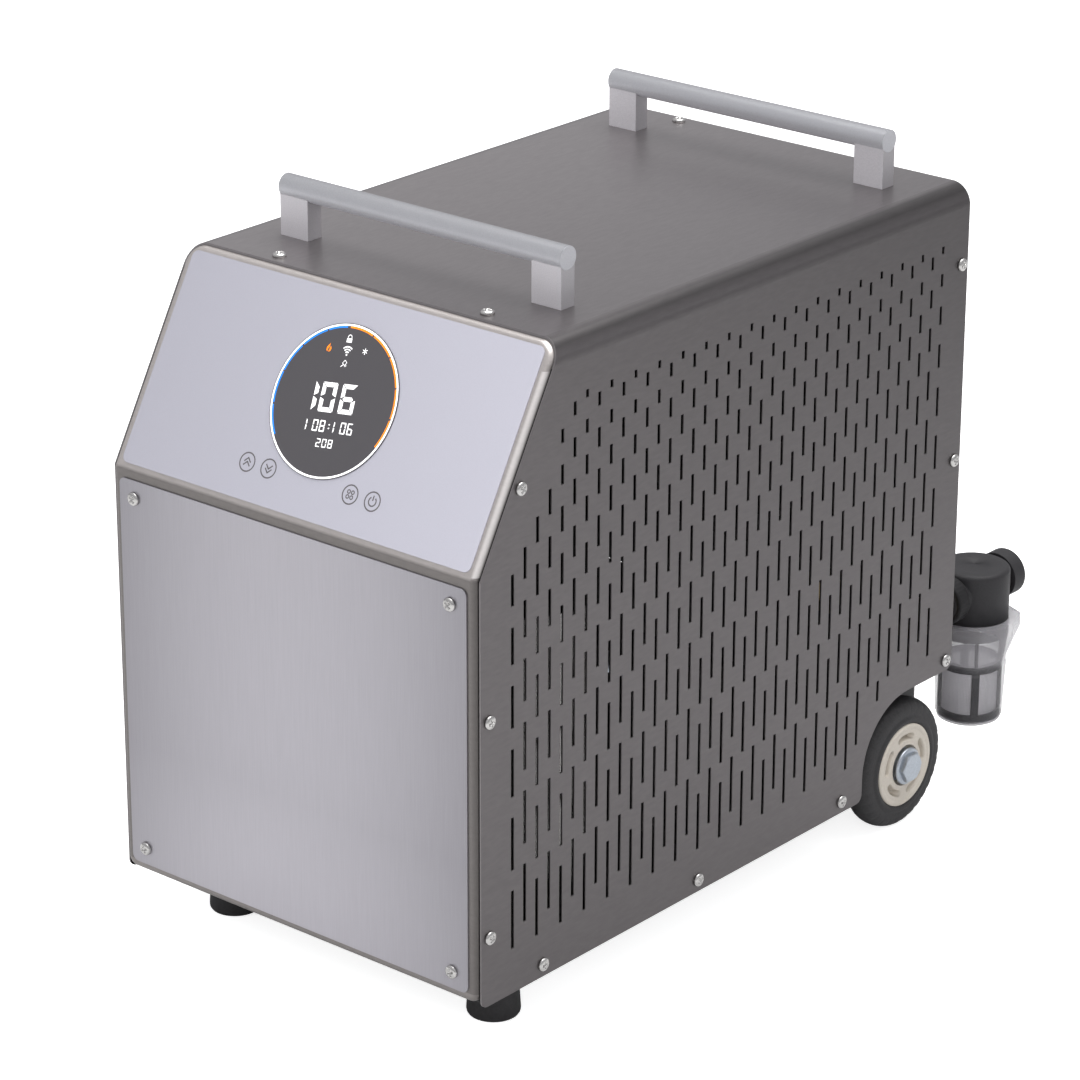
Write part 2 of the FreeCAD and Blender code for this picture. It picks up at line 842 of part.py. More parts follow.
def make_tyre(name, side):
    body = new_body(f"{name}_tyre")
    ring = new_sketch(body, "XY_Plane")
    add_circle(ring, 0.0, 0.0, S.wheel_size / 2)
    add_circle(ring, 0.0, 0.0, S.hub_size / 2)
    pad(body, ring, S.tyre_width)
    place(body, (wheel_face - S.tyre_width) * side, wheel_y, wheel_z, FreeCAD.Vector(0, side, 0), 90.0)
    return body


def make_hub(name, side):
    bore = S.axle_size / 2 + S.axle_play
    boss = S.hub_boss_size / 2
    recess = S.hub_recess_size / 2
    floor = S.tyre_width - S.hub_recess_depth
    body = turned_body(f"{name}_hub", [
        (bore, -S.hub_boss_length), (boss, -S.hub_boss_length), (boss, 0.0), (S.hub_size / 2, 0.0),
        (S.hub_size / 2, S.tyre_width), (recess, S.tyre_width), (recess, floor), (bore, floor),
    ])
    window = new_sketch(body, "XY_Plane", S.tyre_width)
    outer_arc = S.hub_window_middle + S.hub_window_width / 2
    inner_arc = S.hub_window_middle - S.hub_window_width / 2
    thirds = [S.hub_window_turn.value + S.hub_window_spread.value * (step / 3 - 0.5) for step in range(4)]
    corners = [(outer_arc, turn) for turn in thirds] + [(inner_arc, turn) for turn in reversed(thirds)]
    add_outline(window, [
        (arc * math.cos(math.radians(turn)), arc * math.sin(math.radians(turn))) for arc, turn in corners
    ])
    cut = pocket(body, window, S.hub_window_depth)
    turns = body.newObject("PartDesign::PolarPattern", f"{name}_windows")
    turns.Originals = [cut]
    turns.Axis = (window, ["N_Axis"])
    turns.Angle = 360.0
    bind(turns, "Occurrences", S.hub_windows)
    body.Tip = turns
    place(body, (wheel_face - S.tyre_width) * side, wheel_y, wheel_z, FreeCAD.Vector(0, side, 0), 90.0)
    return body


def make_axle(name, side):
    """Axle bolt with its head in the hub's recess and its lock nut behind the bracket's inner wall."""
    body = new_body(f"{name}_axle_bolt")
    floor = S.tyre_width - S.hub_recess_depth
    nut_seat = bracket_face - S.bracket_wall - (wheel_face - S.tyre_width)
    shank = new_sketch(body, "XY_Plane", nut_seat - S.axle_nut_rise)
    add_circle(shank, 0.0, 0.0, S.axle_size / 2)
    pad(body, shank, floor - nut_seat + S.axle_nut_rise + S.axle_head_rise)
    collar = new_sketch(body, "XY_Plane", floor + S.seat_gap)
    add_circle(collar, 0.0, 0.0, S.axle_washer_size / 2)
    pad(body, collar, S.axle_washer_wall)
    head = new_sketch(body, "XY_Plane", floor + S.seat_gap + S.axle_washer_wall)
    add_outline(head, hexagon(S.axle_head_flats))
    pad(body, head, S.axle_head_rise)
    nut = new_sketch(body, "XY_Plane", nut_seat - S.axle_nut_rise)
    add_outline(nut, hexagon(S.axle_head_flats))
    pad(body, nut, S.axle_nut_rise)
    place(body, (wheel_face - S.tyre_width) * side, wheel_y, wheel_z, FreeCAD.Vector(0, side, 0), 90.0)
    return body


# Water filter: black head with two ports in line, clear bowl that screws up over its skirt,
# ribbed strainer basket with its mesh inside

filter_y = rear + S.filter_standoff


def make_filter_head():
    body = new_body("filter_head")
    can = new_sketch(body, "XY_Plane", -S.filter_head_skirt)
    add_circle(can, 0.0, 0.0, S.filter_head_size / 2)
    pad(body, can, S.filter_head_skirt + S.filter_head_top)
    ports = new_sketch(body, "XZ_Plane")
    add_circle(ports, 0.0, 0.0, S.filter_port_size / 2)
    pad(body, ports, S.filter_port_reach * 2, both_ways=True)
    inlet = new_sketch(body, "XZ_Plane", -S.filter_port_reach)
    add_circle(inlet, 0.0, 0.0, S.filter_port_bore / 2)
    pocket(body, inlet, S.filter_port_depth, reverse=True)
    place(body, filter_x, filter_y, filter_z)
    return body


def make_port_nut():
    body = new_body("inlet_collar")
    ring = new_sketch(body, "XZ_Plane", -S.filter_port_reach)
    add_circle(ring, 0.0, 0.0, S.filter_nut_size / 2)
    add_circle(ring, 0.0, 0.0, S.filter_port_size / 2)
    pad(body, ring, S.filter_nut_length)
    place(body, filter_x, filter_y, filter_z)
    return body


def make_bowl():
    """Lobed collar over the head's skirt, shoulder that leans in, and a straight cup with a flat bottom."""
    body = new_body("filter_bowl")
    low = -S.bowl_collar_low - S.bowl_shoulder
    collar = new_sketch(body, "XY_Plane", low)
    add_outline(collar, polygon(int(S.bowl_lobes.value), S.bowl_collar_size / 2))
    lobes = pad(body, collar, -S.bowl_collar_top - low)
    shoulder = round_edges(body, lobes, S.bowl_shoulder, lambda spot: near(spot.z, low), kind="Chamfer")
    shoulder.ChamferType = "Two distances"
    bind(shoulder, "Size2", S.bowl_shoulder_step)
    cup = new_sketch(body, "XY_Plane", -S.bowl_foot)
    add_circle(cup, 0.0, 0.0, S.bowl_size / 2)
    pad(body, cup, S.bowl_foot - S.bowl_collar_low)
    skirt_way = new_sketch(body, "XY_Plane", -S.bowl_collar_top)
    add_circle(skirt_way, 0.0, 0.0, S.filter_head_size / 2 + S.bowl_play)
    pocket(body, skirt_way, S.filter_head_skirt + S.bowl_play - S.bowl_collar_top)
    hollow = new_sketch(body, "XY_Plane", -S.bowl_collar_top)
    add_circle(hollow, 0.0, 0.0, S.bowl_size / 2 - S.bowl_wall)
    pocket(body, hollow, S.bowl_foot - S.bowl_wall - S.bowl_collar_top)
    place(body, filter_x, filter_y, filter_z)
    return body


strainer_low = S.bowl_wall + S.seat_gap - S.bowl_foot


def many_sided_tube(label, outer, wall, high):
    sides = int(S.strainer_sides.value)
    body = new_body(label)
    ring = new_sketch(body, "XY_Plane", strainer_low)
    add_outline(ring, polygon(sides, outer))
    add_outline(ring, polygon(sides, outer - wall))
    pad(body, ring, high - strainer_low)
    place(body, filter_x, filter_y, filter_z)
    return body


def make_strainer():
    body = many_sided_tube("strainer_frame", S.strainer_size / 2, S.strainer_wall, -S.filter_head_skirt)
    half = S.strainer_window / 2
    for role in ("XZ_Plane", "YZ_Plane"):
        window = new_sketch(body, role)
        add_outline(window, rectangle(-half, strainer_low + S.strainer_ring, half, -S.strainer_window_top))
        pocket(body, window)
    return body


def make_mesh():
    outer = S.strainer_size / 2 - S.strainer_wall - S.seat_gap / 2
    return many_sided_tube("strainer_mesh", outer, S.mesh_wall, -S.mesh_top)


# Rear fittings: the pipe that carries the filter, the water outlet and the power socket


def make_pipe(label, x, length, outer_size):
    """A pipe through the rear panel, held between its hexagon outside and its lock nut inside."""
    body = new_body(label)
    inside_end = S.panel_wall + S.seat_gap + S.pipe_hex_length
    tube = new_sketch(body, "XZ_Plane", inside_end)
    add_circle(tube, 0.0, 0.0, S.pipe_size / 2)
    pad(body, tube, inside_end + S.pipe_hex_length, reverse=True)
    hexed = new_sketch(body, "XZ_Plane")
    add_outline(hexed, hexagon(S.pipe_hex_flats))
    pad(body, hexed, S.pipe_hex_length, reverse=True)
    lock_nut = new_sketch(body, "XZ_Plane", S.panel_wall + S.seat_gap)
    add_outline(lock_nut, hexagon(S.pipe_hex_flats))
    pad(body, lock_nut, S.pipe_hex_length)
    neck = new_sketch(body, "XZ_Plane", -S.pipe_hex_length)
    add_circle(neck, 0.0, 0.0, outer_size / 2)
    pad(body, neck, length - S.pipe_hex_length, reverse=True)
    bore = new_sketch(body, "XZ_Plane")
    add_circle(bore, 0.0, 0.0, S.pipe_bore / 2)
    pocket(body, bore)
    place(body, x, panel_back, filter_z)
    return body


def make_socket():
    body = new_body("power_socket")
    half = S.socket_width / 2
    tall = S.socket_height / 2
    case = new_sketch(body, "XZ_Plane")
    add_outline(case, rectangle(-half, -tall, half, tall))
    pad(body, case, S.socket_depth)
    rim = new_sketch(body, "XZ_Plane")
    wide = half + S.socket_flange
    high = tall + S.socket_flange
    add_outline(rim, rectangle(-wide, -high, wide, high))
    pad(body, rim, S.socket_wall, reverse=True)
    hollow = new_sketch(body, "XZ_Plane", -S.socket_wall)
    wall = S.socket_wall
    add_outline(hollow, rectangle(wall - half, wall - tall, half - wall, tall - wall))
    pocket(body, hollow, S.socket_depth + S.socket_wall - S.socket_floor, reverse=True)
    place(body, socket_x, panel_back, socket_z)
    return body


def make_socket_pins():
    solids = []
    floor = (panel_back - S.socket_depth + S.socket_floor).value
    wall, width = S.socket_pin_wall.value, S.socket_pin_width.value
    for step, rise in ((-1, 0.0), (0, S.socket_earth_rise.value), (1, 0.0)):
        x = socket_x.value + S.socket_pin_spacing.value * step
        corner = FreeCAD.Vector(x - wall / 2, floor, socket_z.value + rise - width / 2)
        solids.append(Part.makeBox(wall, S.socket_pin_length.value, width, corner))
    return group("socket_pins", solids)


# Refrigeration and water parts on the tray


compressor_x = S.compressor_side_inset - half_width
compressor_y = front + S.compressor_setback


def make_compressor():
    body = new_body("compressor")
    base = tray_floor + S.grommet_height
    plate = new_sketch(body, "XY_Plane")
    reach = S.grommet_spacing / 2 + S.grommet_size / 2
    add_outline(plate, rectangle(-reach, -reach, reach, reach))
    pad(body, plate, S.compressor_plate)
    shell_foot = new_sketch(body, "XY_Plane", S.compressor_plate)
    add_circle(shell_foot, 0.0, 0.0, S.compressor_size / 2)
    pad(body, shell_foot, S.compressor_height)
    place(body, compressor_x, compressor_y, base)
    return body


def make_grommets():
    solids = []
    corners = polygon(int(S.grommet_sides.value), S.grommet_size / 2)
    for across in (-1, 1):
        for along in (-1, 1):
            x = (compressor_x + S.grommet_spacing / 2 * across).value
            y = (compressor_y + S.grommet_spacing / 2 * along).value
            ring = [FreeCAD.Vector(x + a.value, y + b.value, tray_floor.value) for a, b in corners]
            face = Part.Face(Part.makePolygon(ring + ring[:1]))
            solids.append(face.extrude(FreeCAD.Vector(0, 0, S.grommet_height.value)))
    return group("compressor_grommets", solids)


def make_tank():
    body = new_body("heat_exchanger")
    base = new_sketch(body, "XY_Plane")
    add_circle(base, 0.0, 0.0, S.tank_size / 2)
    pad(body, base, S.tank_height)
    place(body, half_width - S.tank_side_inset, front + S.tank_setback, tray_floor)
    return body


def make_pump():
    body = new_body("water_pump")
    lift = S.pump_size / 2 + S.grommet_height
    motor = new_sketch(body, "XZ_Plane")
    add_circle(motor, 0.0, lift, S.pump_size / 2)
    pad(body, motor, S.pump_length)
    stand = new_sketch(body, "XZ_Plane")
    add_outline(stand, rectangle(-(S.pump_foot_width / 2), 0.0, S.pump_foot_width / 2, lift))
    pad(body, stand, S.pump_length)
    place(body, half_width - S.pump_side_inset, front + S.pump_setback, tray_floor)
    return body


# Condenser and fan stand behind the slotted rear panel; the fan draws air in through the side slots

condenser_y = panel_face - S.condenser_gap - S.condenser_depth
shroud_y = condenser_y - S.shroud_depth
fan_z = bottom + S.condenser_rise + S.condenser_height / 2


def make_condenser():
    """Finned block with its end plates, which reach back to the rear panel that carries it."""
    body = new_body("condenser")
    half = S.condenser_width / 2
    tall = S.condenser_height / 2
    block = new_sketch(body, "XZ_Plane")
    add_outline(block, rectangle(-half, -tall, half, tall))
    pad(body, block, S.condenser_depth, reverse=True)
    ends = new_sketch(body, "XZ_Plane")
    wall = S.shroud_wall
    for side in (-1, 1):
        add_outline(ends, rectangle(half * side, -tall, (half + wall) * side, tall))
    pad(body, ends, S.condenser_depth + S.condenser_gap, reverse=True)
    place(body, 0.0, condenser_y, fan_z)
    return body


def make_shroud():
    body = new_body("fan_shroud")
    half = S.condenser_width / 2
    tall = S.condenser_height / 2
    wall = S.shroud_wall
    case = new_sketch(body, "XZ_Plane")
    add_outline(case, rectangle(-half, -tall, half, tall))
    pad(body, case, S.shroud_depth)
    hollow = new_sketch(body, "XZ_Plane")
    add_outline(hollow, rectangle(wall - half, wall - tall, half - wall, tall - wall))
    pocket(body, hollow, S.shroud_depth - wall, reverse=True)
    mouth = new_sketch(body, "XZ_Plane")
    add_circle(mouth, 0.0, 0.0, S.fan_opening / 2)
    pocket(body, mouth)
    arm = new_sketch(body, "XZ_Plane", S.shroud_depth - wall)
    reach = S.fan_opening / 2 + wall * 2
    add_outline(arm, rectangle(-reach, -(S.arm_width / 2), reach, S.arm_width / 2))
    pad(body, arm, wall * 2)
    seat = new_sketch(body, "XZ_Plane", S.shroud_depth - wall)
    tip = S.motor_seat_size / 2
    add_outline(seat, rectangle(-tip, -tip, tip, tip))
    pad(body, seat, wall * 2)
    shaft_way = new_sketch(body, "XZ_Plane", S.shroud_depth - wall)
    add_circle(shaft_way, 0.0, 0.0, S.fan_shaft_size / 2 + S.shaft_room)
    pocket(body, shaft_way)
    place(body, 0.0, condenser_y, fan_z)
    return body


def make_fan():
    """Five pitched blades on a hub that runs on the motor's shaft, about Y."""
    body = new_body("fan_blade")
    hub = new_sketch(body, "XZ_Plane")
    add_circle(hub, 0.0, 0.0, S.fan_hub_size / 2)
    pad(body, hub, S.fan_hub_depth, both_ways=True)
    root_x = S.fan_hub_size / 2 - S.fan_root_depth
    blade = new_sketch(body, "YZ_Plane", root_x)
    lean = math.radians(S.fan_pitch.value)
    chord = S.fan_chord / 2
    thick = S.fan_blade_wall / 2
    add_outline(blade, [
        (chord * math.sin(lean) * end + thick * math.cos(lean) * face,
         chord * math.cos(lean) * end - thick * math.sin(lean) * face)
        for end, face in ((-1, -1), (1, -1), (1, 1), (-1, 1))
    ])
    tip = S.fan_opening / 2 - S.fan_tip_gap
    wing = pad(body, blade, tip - root_x)
    turns = body.newObject("PartDesign::PolarPattern", "fan_blades")
    turns.Originals = [wing]
    turns.Axis = (hub, ["N_Axis"])
    turns.Angle = 360.0
    bind(turns, "Occurrences", S.fan_blades)
    shaft_way = new_sketch(body, "XZ_Plane")
    add_circle(shaft_way, 0.0, 0.0, S.fan_shaft_size / 2 + S.axle_play)
    body.Tip = turns
    pocket(body, shaft_way)
    place(body, 0.0, condenser_y - S.shroud_depth / 2, fan_z)
    return body


def make_fan_motor():
    body = new_body("fan_motor")
    case = new_sketch(body, "XZ_Plane")
    add_circle(case, 0.0, 0.0, S.fan_motor_size / 2)
    pad(body, case, S.fan_motor_length)
    shaft = new_sketch(body, "XZ_Plane")
    add_circle(shaft, 0.0, 0.0, S.fan_shaft_size / 2)
    reach = S.shroud_wall + S.shroud_depth / 2 + S.fan_hub_depth / 2
    pad(body, shaft, reach, reverse=True)
    place(body, 0.0, shroud_y - S.shroud_wall, fan_z)
    return body


# Electrical box behind the front plate


def make_electrical_box():
    body = new_body("electrical_box")
    half = S.box_width / 2
    face = new_sketch(body, "XZ_Plane")
    add_outline(face, rectangle(-half, 0.0, half, S.box_height))
    pad(body, face, S.box_depth, reverse=True)
    place(body, 0.0, front - S.fascia_step + S.fascia_wall + S.seat_gap, bottom + S.box_rise)
    return body


# Build every piece, look it over and write it out

pieces = [make_wrap(), make_fascia(), make_front_plate()]
pieces += [make_control_film(), make_display(), make_control_board()]
pieces += make_handle("front") + make_handle("rear")
pieces += [make_tray(), make_rear_panel()]
for name, side in (("left", -1), ("right", 1)):
    pieces += [make_bracket(name, side), make_foot(name, side), make_tyre(name, side), make_hub(name, side)]
    pieces += [make_axle(name, side)]
pieces += [make_filter_head(), make_port_nut(), make_bowl(), make_strainer(), make_mesh()]
filter_reach = S.filter_standoff + S.panel_inset - S.filter_port_reach
pieces += [make_pipe("inlet_pipe", filter_x, filter_reach, S.pipe_size)]
pieces += [make_pipe("water_outlet", outlet_x, S.outlet_length, S.outlet_thread_size)]
pieces += [make_socket(), make_socket_pins()]
pieces += [make_compressor(), make_grommets(), make_tank(), make_pump(), make_condenser(), make_shroud()]
pieces += [make_fan(), make_fan_motor(), make_electrical_box()]

doc.recompute()
for item in doc.Objects:
    if "Invalid" in item.State or "Error" in item.State:
        raise ValueError(f"{item.Name} did not build: {item.State}")
for piece in pieces:
    if piece.Shape.isNull() or not piece.Shape.isValid() or not piece.Shape.Solids:
        raise ValueError(f"{piece.Label} has no valid solid")

os.makedirs("parts", exist_ok=True)
for piece in pieces:
    piece.Shape.exportStep(os.path.join("parts", f"{piece.Label}.step"))
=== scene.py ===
import json
import math

import bmesh
import bpy
from mathutils import Matrix, Vector

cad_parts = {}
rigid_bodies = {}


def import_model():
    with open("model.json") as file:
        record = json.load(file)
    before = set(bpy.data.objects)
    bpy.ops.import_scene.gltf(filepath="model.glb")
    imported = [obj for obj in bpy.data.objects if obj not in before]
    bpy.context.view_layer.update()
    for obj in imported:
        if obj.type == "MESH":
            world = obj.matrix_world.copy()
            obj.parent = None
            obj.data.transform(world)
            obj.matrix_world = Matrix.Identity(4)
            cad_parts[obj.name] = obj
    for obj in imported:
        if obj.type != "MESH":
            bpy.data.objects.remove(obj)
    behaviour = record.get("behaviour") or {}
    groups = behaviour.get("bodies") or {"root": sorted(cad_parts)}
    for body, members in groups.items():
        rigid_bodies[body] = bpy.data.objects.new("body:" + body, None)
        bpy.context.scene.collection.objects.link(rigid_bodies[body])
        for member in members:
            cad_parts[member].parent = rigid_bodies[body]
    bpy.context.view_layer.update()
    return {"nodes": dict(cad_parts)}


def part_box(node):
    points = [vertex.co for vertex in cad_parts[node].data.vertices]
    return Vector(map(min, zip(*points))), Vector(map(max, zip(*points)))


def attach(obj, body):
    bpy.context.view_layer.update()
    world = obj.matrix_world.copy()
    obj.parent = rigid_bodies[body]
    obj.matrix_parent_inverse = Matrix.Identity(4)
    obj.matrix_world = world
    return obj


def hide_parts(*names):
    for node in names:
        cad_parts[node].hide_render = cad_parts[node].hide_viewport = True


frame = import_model()
nodes = frame["nodes"]

# Edge softening shared by every hard material: a bevel seen only by the shader, under a fine
# bump that the metal's paint, the rubber and the moulded plastic all have at their own scale.


def grain_group():
    group = bpy.data.node_groups.new("soft_grain", "ShaderNodeTree")
    face = group.interface
    face.new_socket("Edge", in_out="INPUT", socket_type="NodeSocketFloat").default_value = 0.0004
    face.new_socket("Scale", in_out="INPUT", socket_type="NodeSocketFloat").default_value = 900.0
    face.new_socket("Depth", in_out="INPUT", socket_type="NodeSocketFloat").default_value = 0.05
    face.new_socket("Stretch", in_out="INPUT", socket_type="NodeSocketVector").default_value = (1, 1, 1)
    face.new_socket("Normal", in_out="OUTPUT", socket_type="NodeSocketVector")
    face.new_socket("Speckle", in_out="OUTPUT", socket_type="NodeSocketFloat")
    inlet = group.nodes.new("NodeGroupInput")
    outlet = group.nodes.new("NodeGroupOutput")
    place = group.nodes.new("ShaderNodeTexCoord")
    stretch = group.nodes.new("ShaderNodeVectorMath")
    stretch.operation = "MULTIPLY"
    noise = group.nodes.new("ShaderNodeTexNoise")
    noise.inputs["Detail"].default_value = 3.0
    bevel = group.nodes.new("ShaderNodeBevel")
    bevel.samples = 4
    bump = group.nodes.new("ShaderNodeBump")
    bump.inputs["Distance"].default_value = 0.0002
    link = group.links.new
    link(place.outputs["Object"], stretch.inputs[0])
    link(inlet.outputs["Stretch"], stretch.inputs[1])
    link(stretch.outputs[0], noise.inputs["Vector"])
    link(inlet.outputs["Scale"], noise.inputs["Scale"])
    link(inlet.outputs["Edge"], bevel.inputs["Radius"])
    link(noise.outputs["Fac"], bump.inputs["Height"])
    link(inlet.outputs["Depth"], bump.inputs["Strength"])
    link(bevel.outputs["Normal"], bump.inputs["Normal"])
    link(bump.outputs["Normal"], outlet.inputs["Normal"])
    link(noise.outputs["Fac"], outlet.inputs["Speckle"])
    return group


soft_grain = grain_group()


class Finish:
    """A procedural material: a principled surface over the shared grain, to be added to."""

    def __init__(self, name, color, rough, metal=0.0, edge=0.0004, scale=900.0, depth=0.05, spread=0.06,
                 stretch=(1, 1, 1)):
        self.material = bpy.data.materials.new(name)
        self.material.use_nodes = True
        tree = self.material.node_tree
        self.nodes = tree.nodes
        self.link = tree.links.new
        self.surface = self.nodes["Principled BSDF"]
        grain = self.nodes.new("ShaderNodeGroup")
        grain.node_tree = soft_grain
        grain.inputs["Edge"].default_value = edge
        grain.inputs["Scale"].default_value = scale
        grain.inputs["Depth"].default_value = depth
        grain.inputs["Stretch"].default_value = stretch
        tone = self.nodes.new("ShaderNodeMapRange")
        tone.inputs["From Min"].default_value = 0.3
        tone.inputs["From Max"].default_value = 0.7
        tone.inputs["To Min"].default_value = 1.0 - spread
        tone.inputs["To Max"].default_value = 1.0 + spread
        toned = self.nodes.new("ShaderNodeMix")
        toned.data_type = "RGBA"
        toned.blend_type = "MULTIPLY"
        toned.inputs["Factor"].default_value = 1.0
        toned.inputs[6].default_value = (*color, 1.0)
        self.link(grain.outputs["Speckle"], tone.inputs["Value"])
        self.link(tone.outputs["Result"], toned.inputs[7])
        self.link(toned.outputs[2], self.surface.inputs["Base Color"])
        self.link(grain.outputs["Normal"], self.surface.inputs["Normal"])
        self.surface.inputs["Roughness"].default_value = rough
        self.surface.inputs["Metallic"].default_value = metal

    def calc(self, operation, *terms):
        """One maths node, its terms sockets or plain numbers."""
        node = self.nodes.new("ShaderNodeMath")
        node.operation = operation
        for index, term in enumerate(terms):
            if isinstance(term, (int, float)):
                node.inputs[index].default_value = term
            else:
                self.link(term, node.inputs[index])
        return node.outputs[0]

    def place(self):
        """The X, Y and Z of the shaded point, on Object coordinates."""
        return self.parts(self.nodes.new("ShaderNodeTexCoord").outputs["Object"])

    def normal(self):
        """The X, Y and Z of the surface's normal."""
        return self.parts(self.nodes.new("ShaderNodeNewGeometry").outputs["Normal"])

    def parts(self, vector):
        split = self.nodes.new("ShaderNodeSeparateXYZ")
        self.link(vector, split.inputs[0])
        return split.outputs

    def scale_color(self, factor):
        """Lightens or darkens the colour by a factor."""
        scale = self.nodes.new("ShaderNodeVectorMath")
        scale.operation = "SCALE"
        self.link(self.surface.inputs["Base Color"].links[0].from_socket, scale.inputs[0])
        self.link(factor, scale.inputs["Scale"])
        self.link(scale.outputs[0], self.surface.inputs["Base Color"])

    def put_on(self, *names):
        """Gives the finish to CAD pieces."""
        for name in names:
            nodes[name].data.materials.clear()
            nodes[name].data.materials.append(self.material)


def add_piece(name, mesh, body, slot, *finishes, replaces=()):
    """Puts a finished mesh into the scene on its CAD body."""
    piece = bpy.data.objects.new(name, mesh)
    bpy.context.scene.collection.objects.link(piece)
    for finish in finishes:
        mesh.materials.append(finish.material)
    if replaces:
        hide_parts(*replaces)
    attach(piece, body)
    return piece


# Outer wrap: one bent sheet with its air slots, brushed dark metal under satin lacquer. Light and
# shade are painted into its colour: lighter on top where it faces the light, darker on the bends,
# lighter to the left on top and darker towards the rear top on the sides. Its inside is painted
# near black, painted shade seen through the slots.

sheet_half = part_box("outer_wrap")[1].x
sheet_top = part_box("outer_wrap")[1].z
wrap = Finish("wrap_sheet", (0.235, 0.219, 0.222), 0.34, metal=0.85, edge=0.0003, scale=420.0, depth=0.04,
              spread=0.05, stretch=(1.0, 0.25, 1.0))
wrap_place, wrap_normal = wrap.place(), wrap.normal()
# Painted light and shade: the colour follows the way the surface faces, lighter to the left on top and darker
# towards the rear top on the sides.
sideways = wrap.calc("ABSOLUTE", wrap_normal["X"])
tilt_shade = wrap.nodes.new("ShaderNodeValToRGB")
ramp = tilt_shade.color_ramp
for position, level in ((0.0, 1.05), (0.17, 0.77), (0.34, 0.41), (0.71, 0.40), (0.94, 0.84), (1.0, 0.615)):
    stop = ramp.elements.new(position) if 0.0 < position < 1.0 else ramp.elements[-int(position)]
    stop.color = (level, level, level, 1.0)
wrap.link(sideways, tilt_shade.inputs["Fac"])
top_light_to_left = wrap.calc("MULTIPLY_ADD", wrap.calc("MULTIPLY", wrap_place["X"], wrap_normal["Z"]), -1.1, 1.0)
to_rear = wrap.calc("MULTIPLY_ADD", wrap_place["Y"], 1.95, 0.5)
rear_height_shade = wrap.calc("MULTIPLY", to_rear, wrap.calc("MULTIPLY_ADD", wrap_place["Z"], -0.85, 0.11))
side_shade = wrap.calc("MULTIPLY_ADD", rear_height_shade, sideways, 1.0)
wrap.scale_color(wrap.calc("MULTIPLY", wrap.calc("MULTIPLY", tilt_shade.outputs["Color"], top_light_to_left), side_shade))
outer_skin, bend_depth = 0.0010, 0.0160
# Painted shade: the inner faces below the top bend are darkened almost to black.
inside_shade_mask = wrap.calc("LESS_THAN", wrap.calc("ABSOLUTE", wrap_place["X"]), sheet_half - outer_skin)
below = wrap.calc("LESS_THAN", wrap_place["Z"], sheet_top - bend_depth)
wrap.scale_color(wrap.calc("MULTIPLY_ADD", wrap.calc("MULTIPLY", inside_shade_mask, below), -0.98, 1.0))
wrap.put_on("outer_wrap")

# Rear panel, base tray and wheel brackets: plain folded sheet. The panel is in the wrap's own
# metal; tray, brackets and fan shroud are coated a dull black.

panel_sheet = Finish("panel_sheet", (0.235, 0.225, 0.226), 0.45, metal=0.85, edge=0.0003, scale=420.0,
                     depth=0.04, spread=0.05, stretch=(0.25, 1.0, 1.0))
panel_sheet.put_on("rear_panel")
tray_sheet = Finish("tray_sheet", (0.05, 0.05, 0.05), 0.55, metal=0.5, scale=600.0, depth=0.08)
tray_sheet.put_on("base_tray", "left_wheel_bracket", "right_wheel_bracket", "fan_shroud")

# Front fascia: folded sheet whose rounded rim frames plate and film, satin metallic grey. Light and
# shade are painted into its tone by the way the rim faces: lighter on the slope and at the sill,
# darker down the right edge, and a painted highlight glows along the slope's right rim.

fascia = Finish("fascia_sheet", (0.275, 0.256, 0.246), 0.38, metal=0.85, edge=0.0004, scale=520.0, depth=0.05,
                spread=0.05, stretch=(0.3, 1.0, 1.0))
sill_z, knee_z, brow_z = 0.050, 0.338, 0.455
fascia_z, fascia_normal = fascia.place()["Z"], fascia.normal()
# Painted light and shade: colour scaled by the normal's height, with a lighter sill and a darker right edge below
# the knee.
lean = fascia.nodes.new("ShaderNodeMapRange")
lean.inputs["From Min"].default_value = 0.11
lean.inputs["From Max"].default_value = 0.46
lean.inputs["To Min"].default_value = 0.74
lean.inputs["To Max"].default_value = 2.10
fascia.link(fascia_normal["Z"], lean.inputs["Value"])
roll = fascia.calc("MAXIMUM", fascia_normal["X"], 0.0)
sill_light = fascia.calc("MULTIPLY_ADD", fascia.calc("LESS_THAN", fascia_z, sill_z), 0.42, 1.0)
right_edge_shade = fascia.calc("MULTIPLY", roll, fascia.calc("LESS_THAN", fascia_z, knee_z))
rims = fascia.calc("MULTIPLY", sill_light, fascia.calc("MULTIPLY_ADD", right_edge_shade, -0.5, 1.0))
fascia.scale_color(fascia.calc("MULTIPLY", lean.outputs["Result"], rims))
# Painted highlight: an emission glow along the slope's right rounded rim.
painted_rim_highlight = fascia.calc("MULTIPLY", fascia.calc("MULTIPLY", roll, fascia.calc("SUBTRACT", 1.0, roll)), 1.15)
upper = fascia.calc("MULTIPLY", fascia.calc("GREATER_THAN", fascia_z, knee_z),
                    fascia.calc("LESS_THAN", fascia_z, brow_z))
fascia.link(fascia.calc("MULTIPLY", painted_rim_highlight, upper), fascia.surface.inputs["Emission Color"])
fascia.surface.inputs["Emission Strength"].default_value = 1.0
fascia.put_on("front_fascia")

# Front plate: brushed sheet in a cool grey, its brushing upright, screwed on at four corners. Light is
# painted into its colour: lightest down the middle, darker to both sides, and a little lighter near the floor.

plate = Finish("front_plate", (0.445, 0.432, 0.465), 0.30, metal=0.85, edge=0.0005, scale=260.0, depth=0.05,
               spread=0.03, stretch=(6.0, 1.0, 0.12))
plate_place = plate.place()
glow_z = 0.14
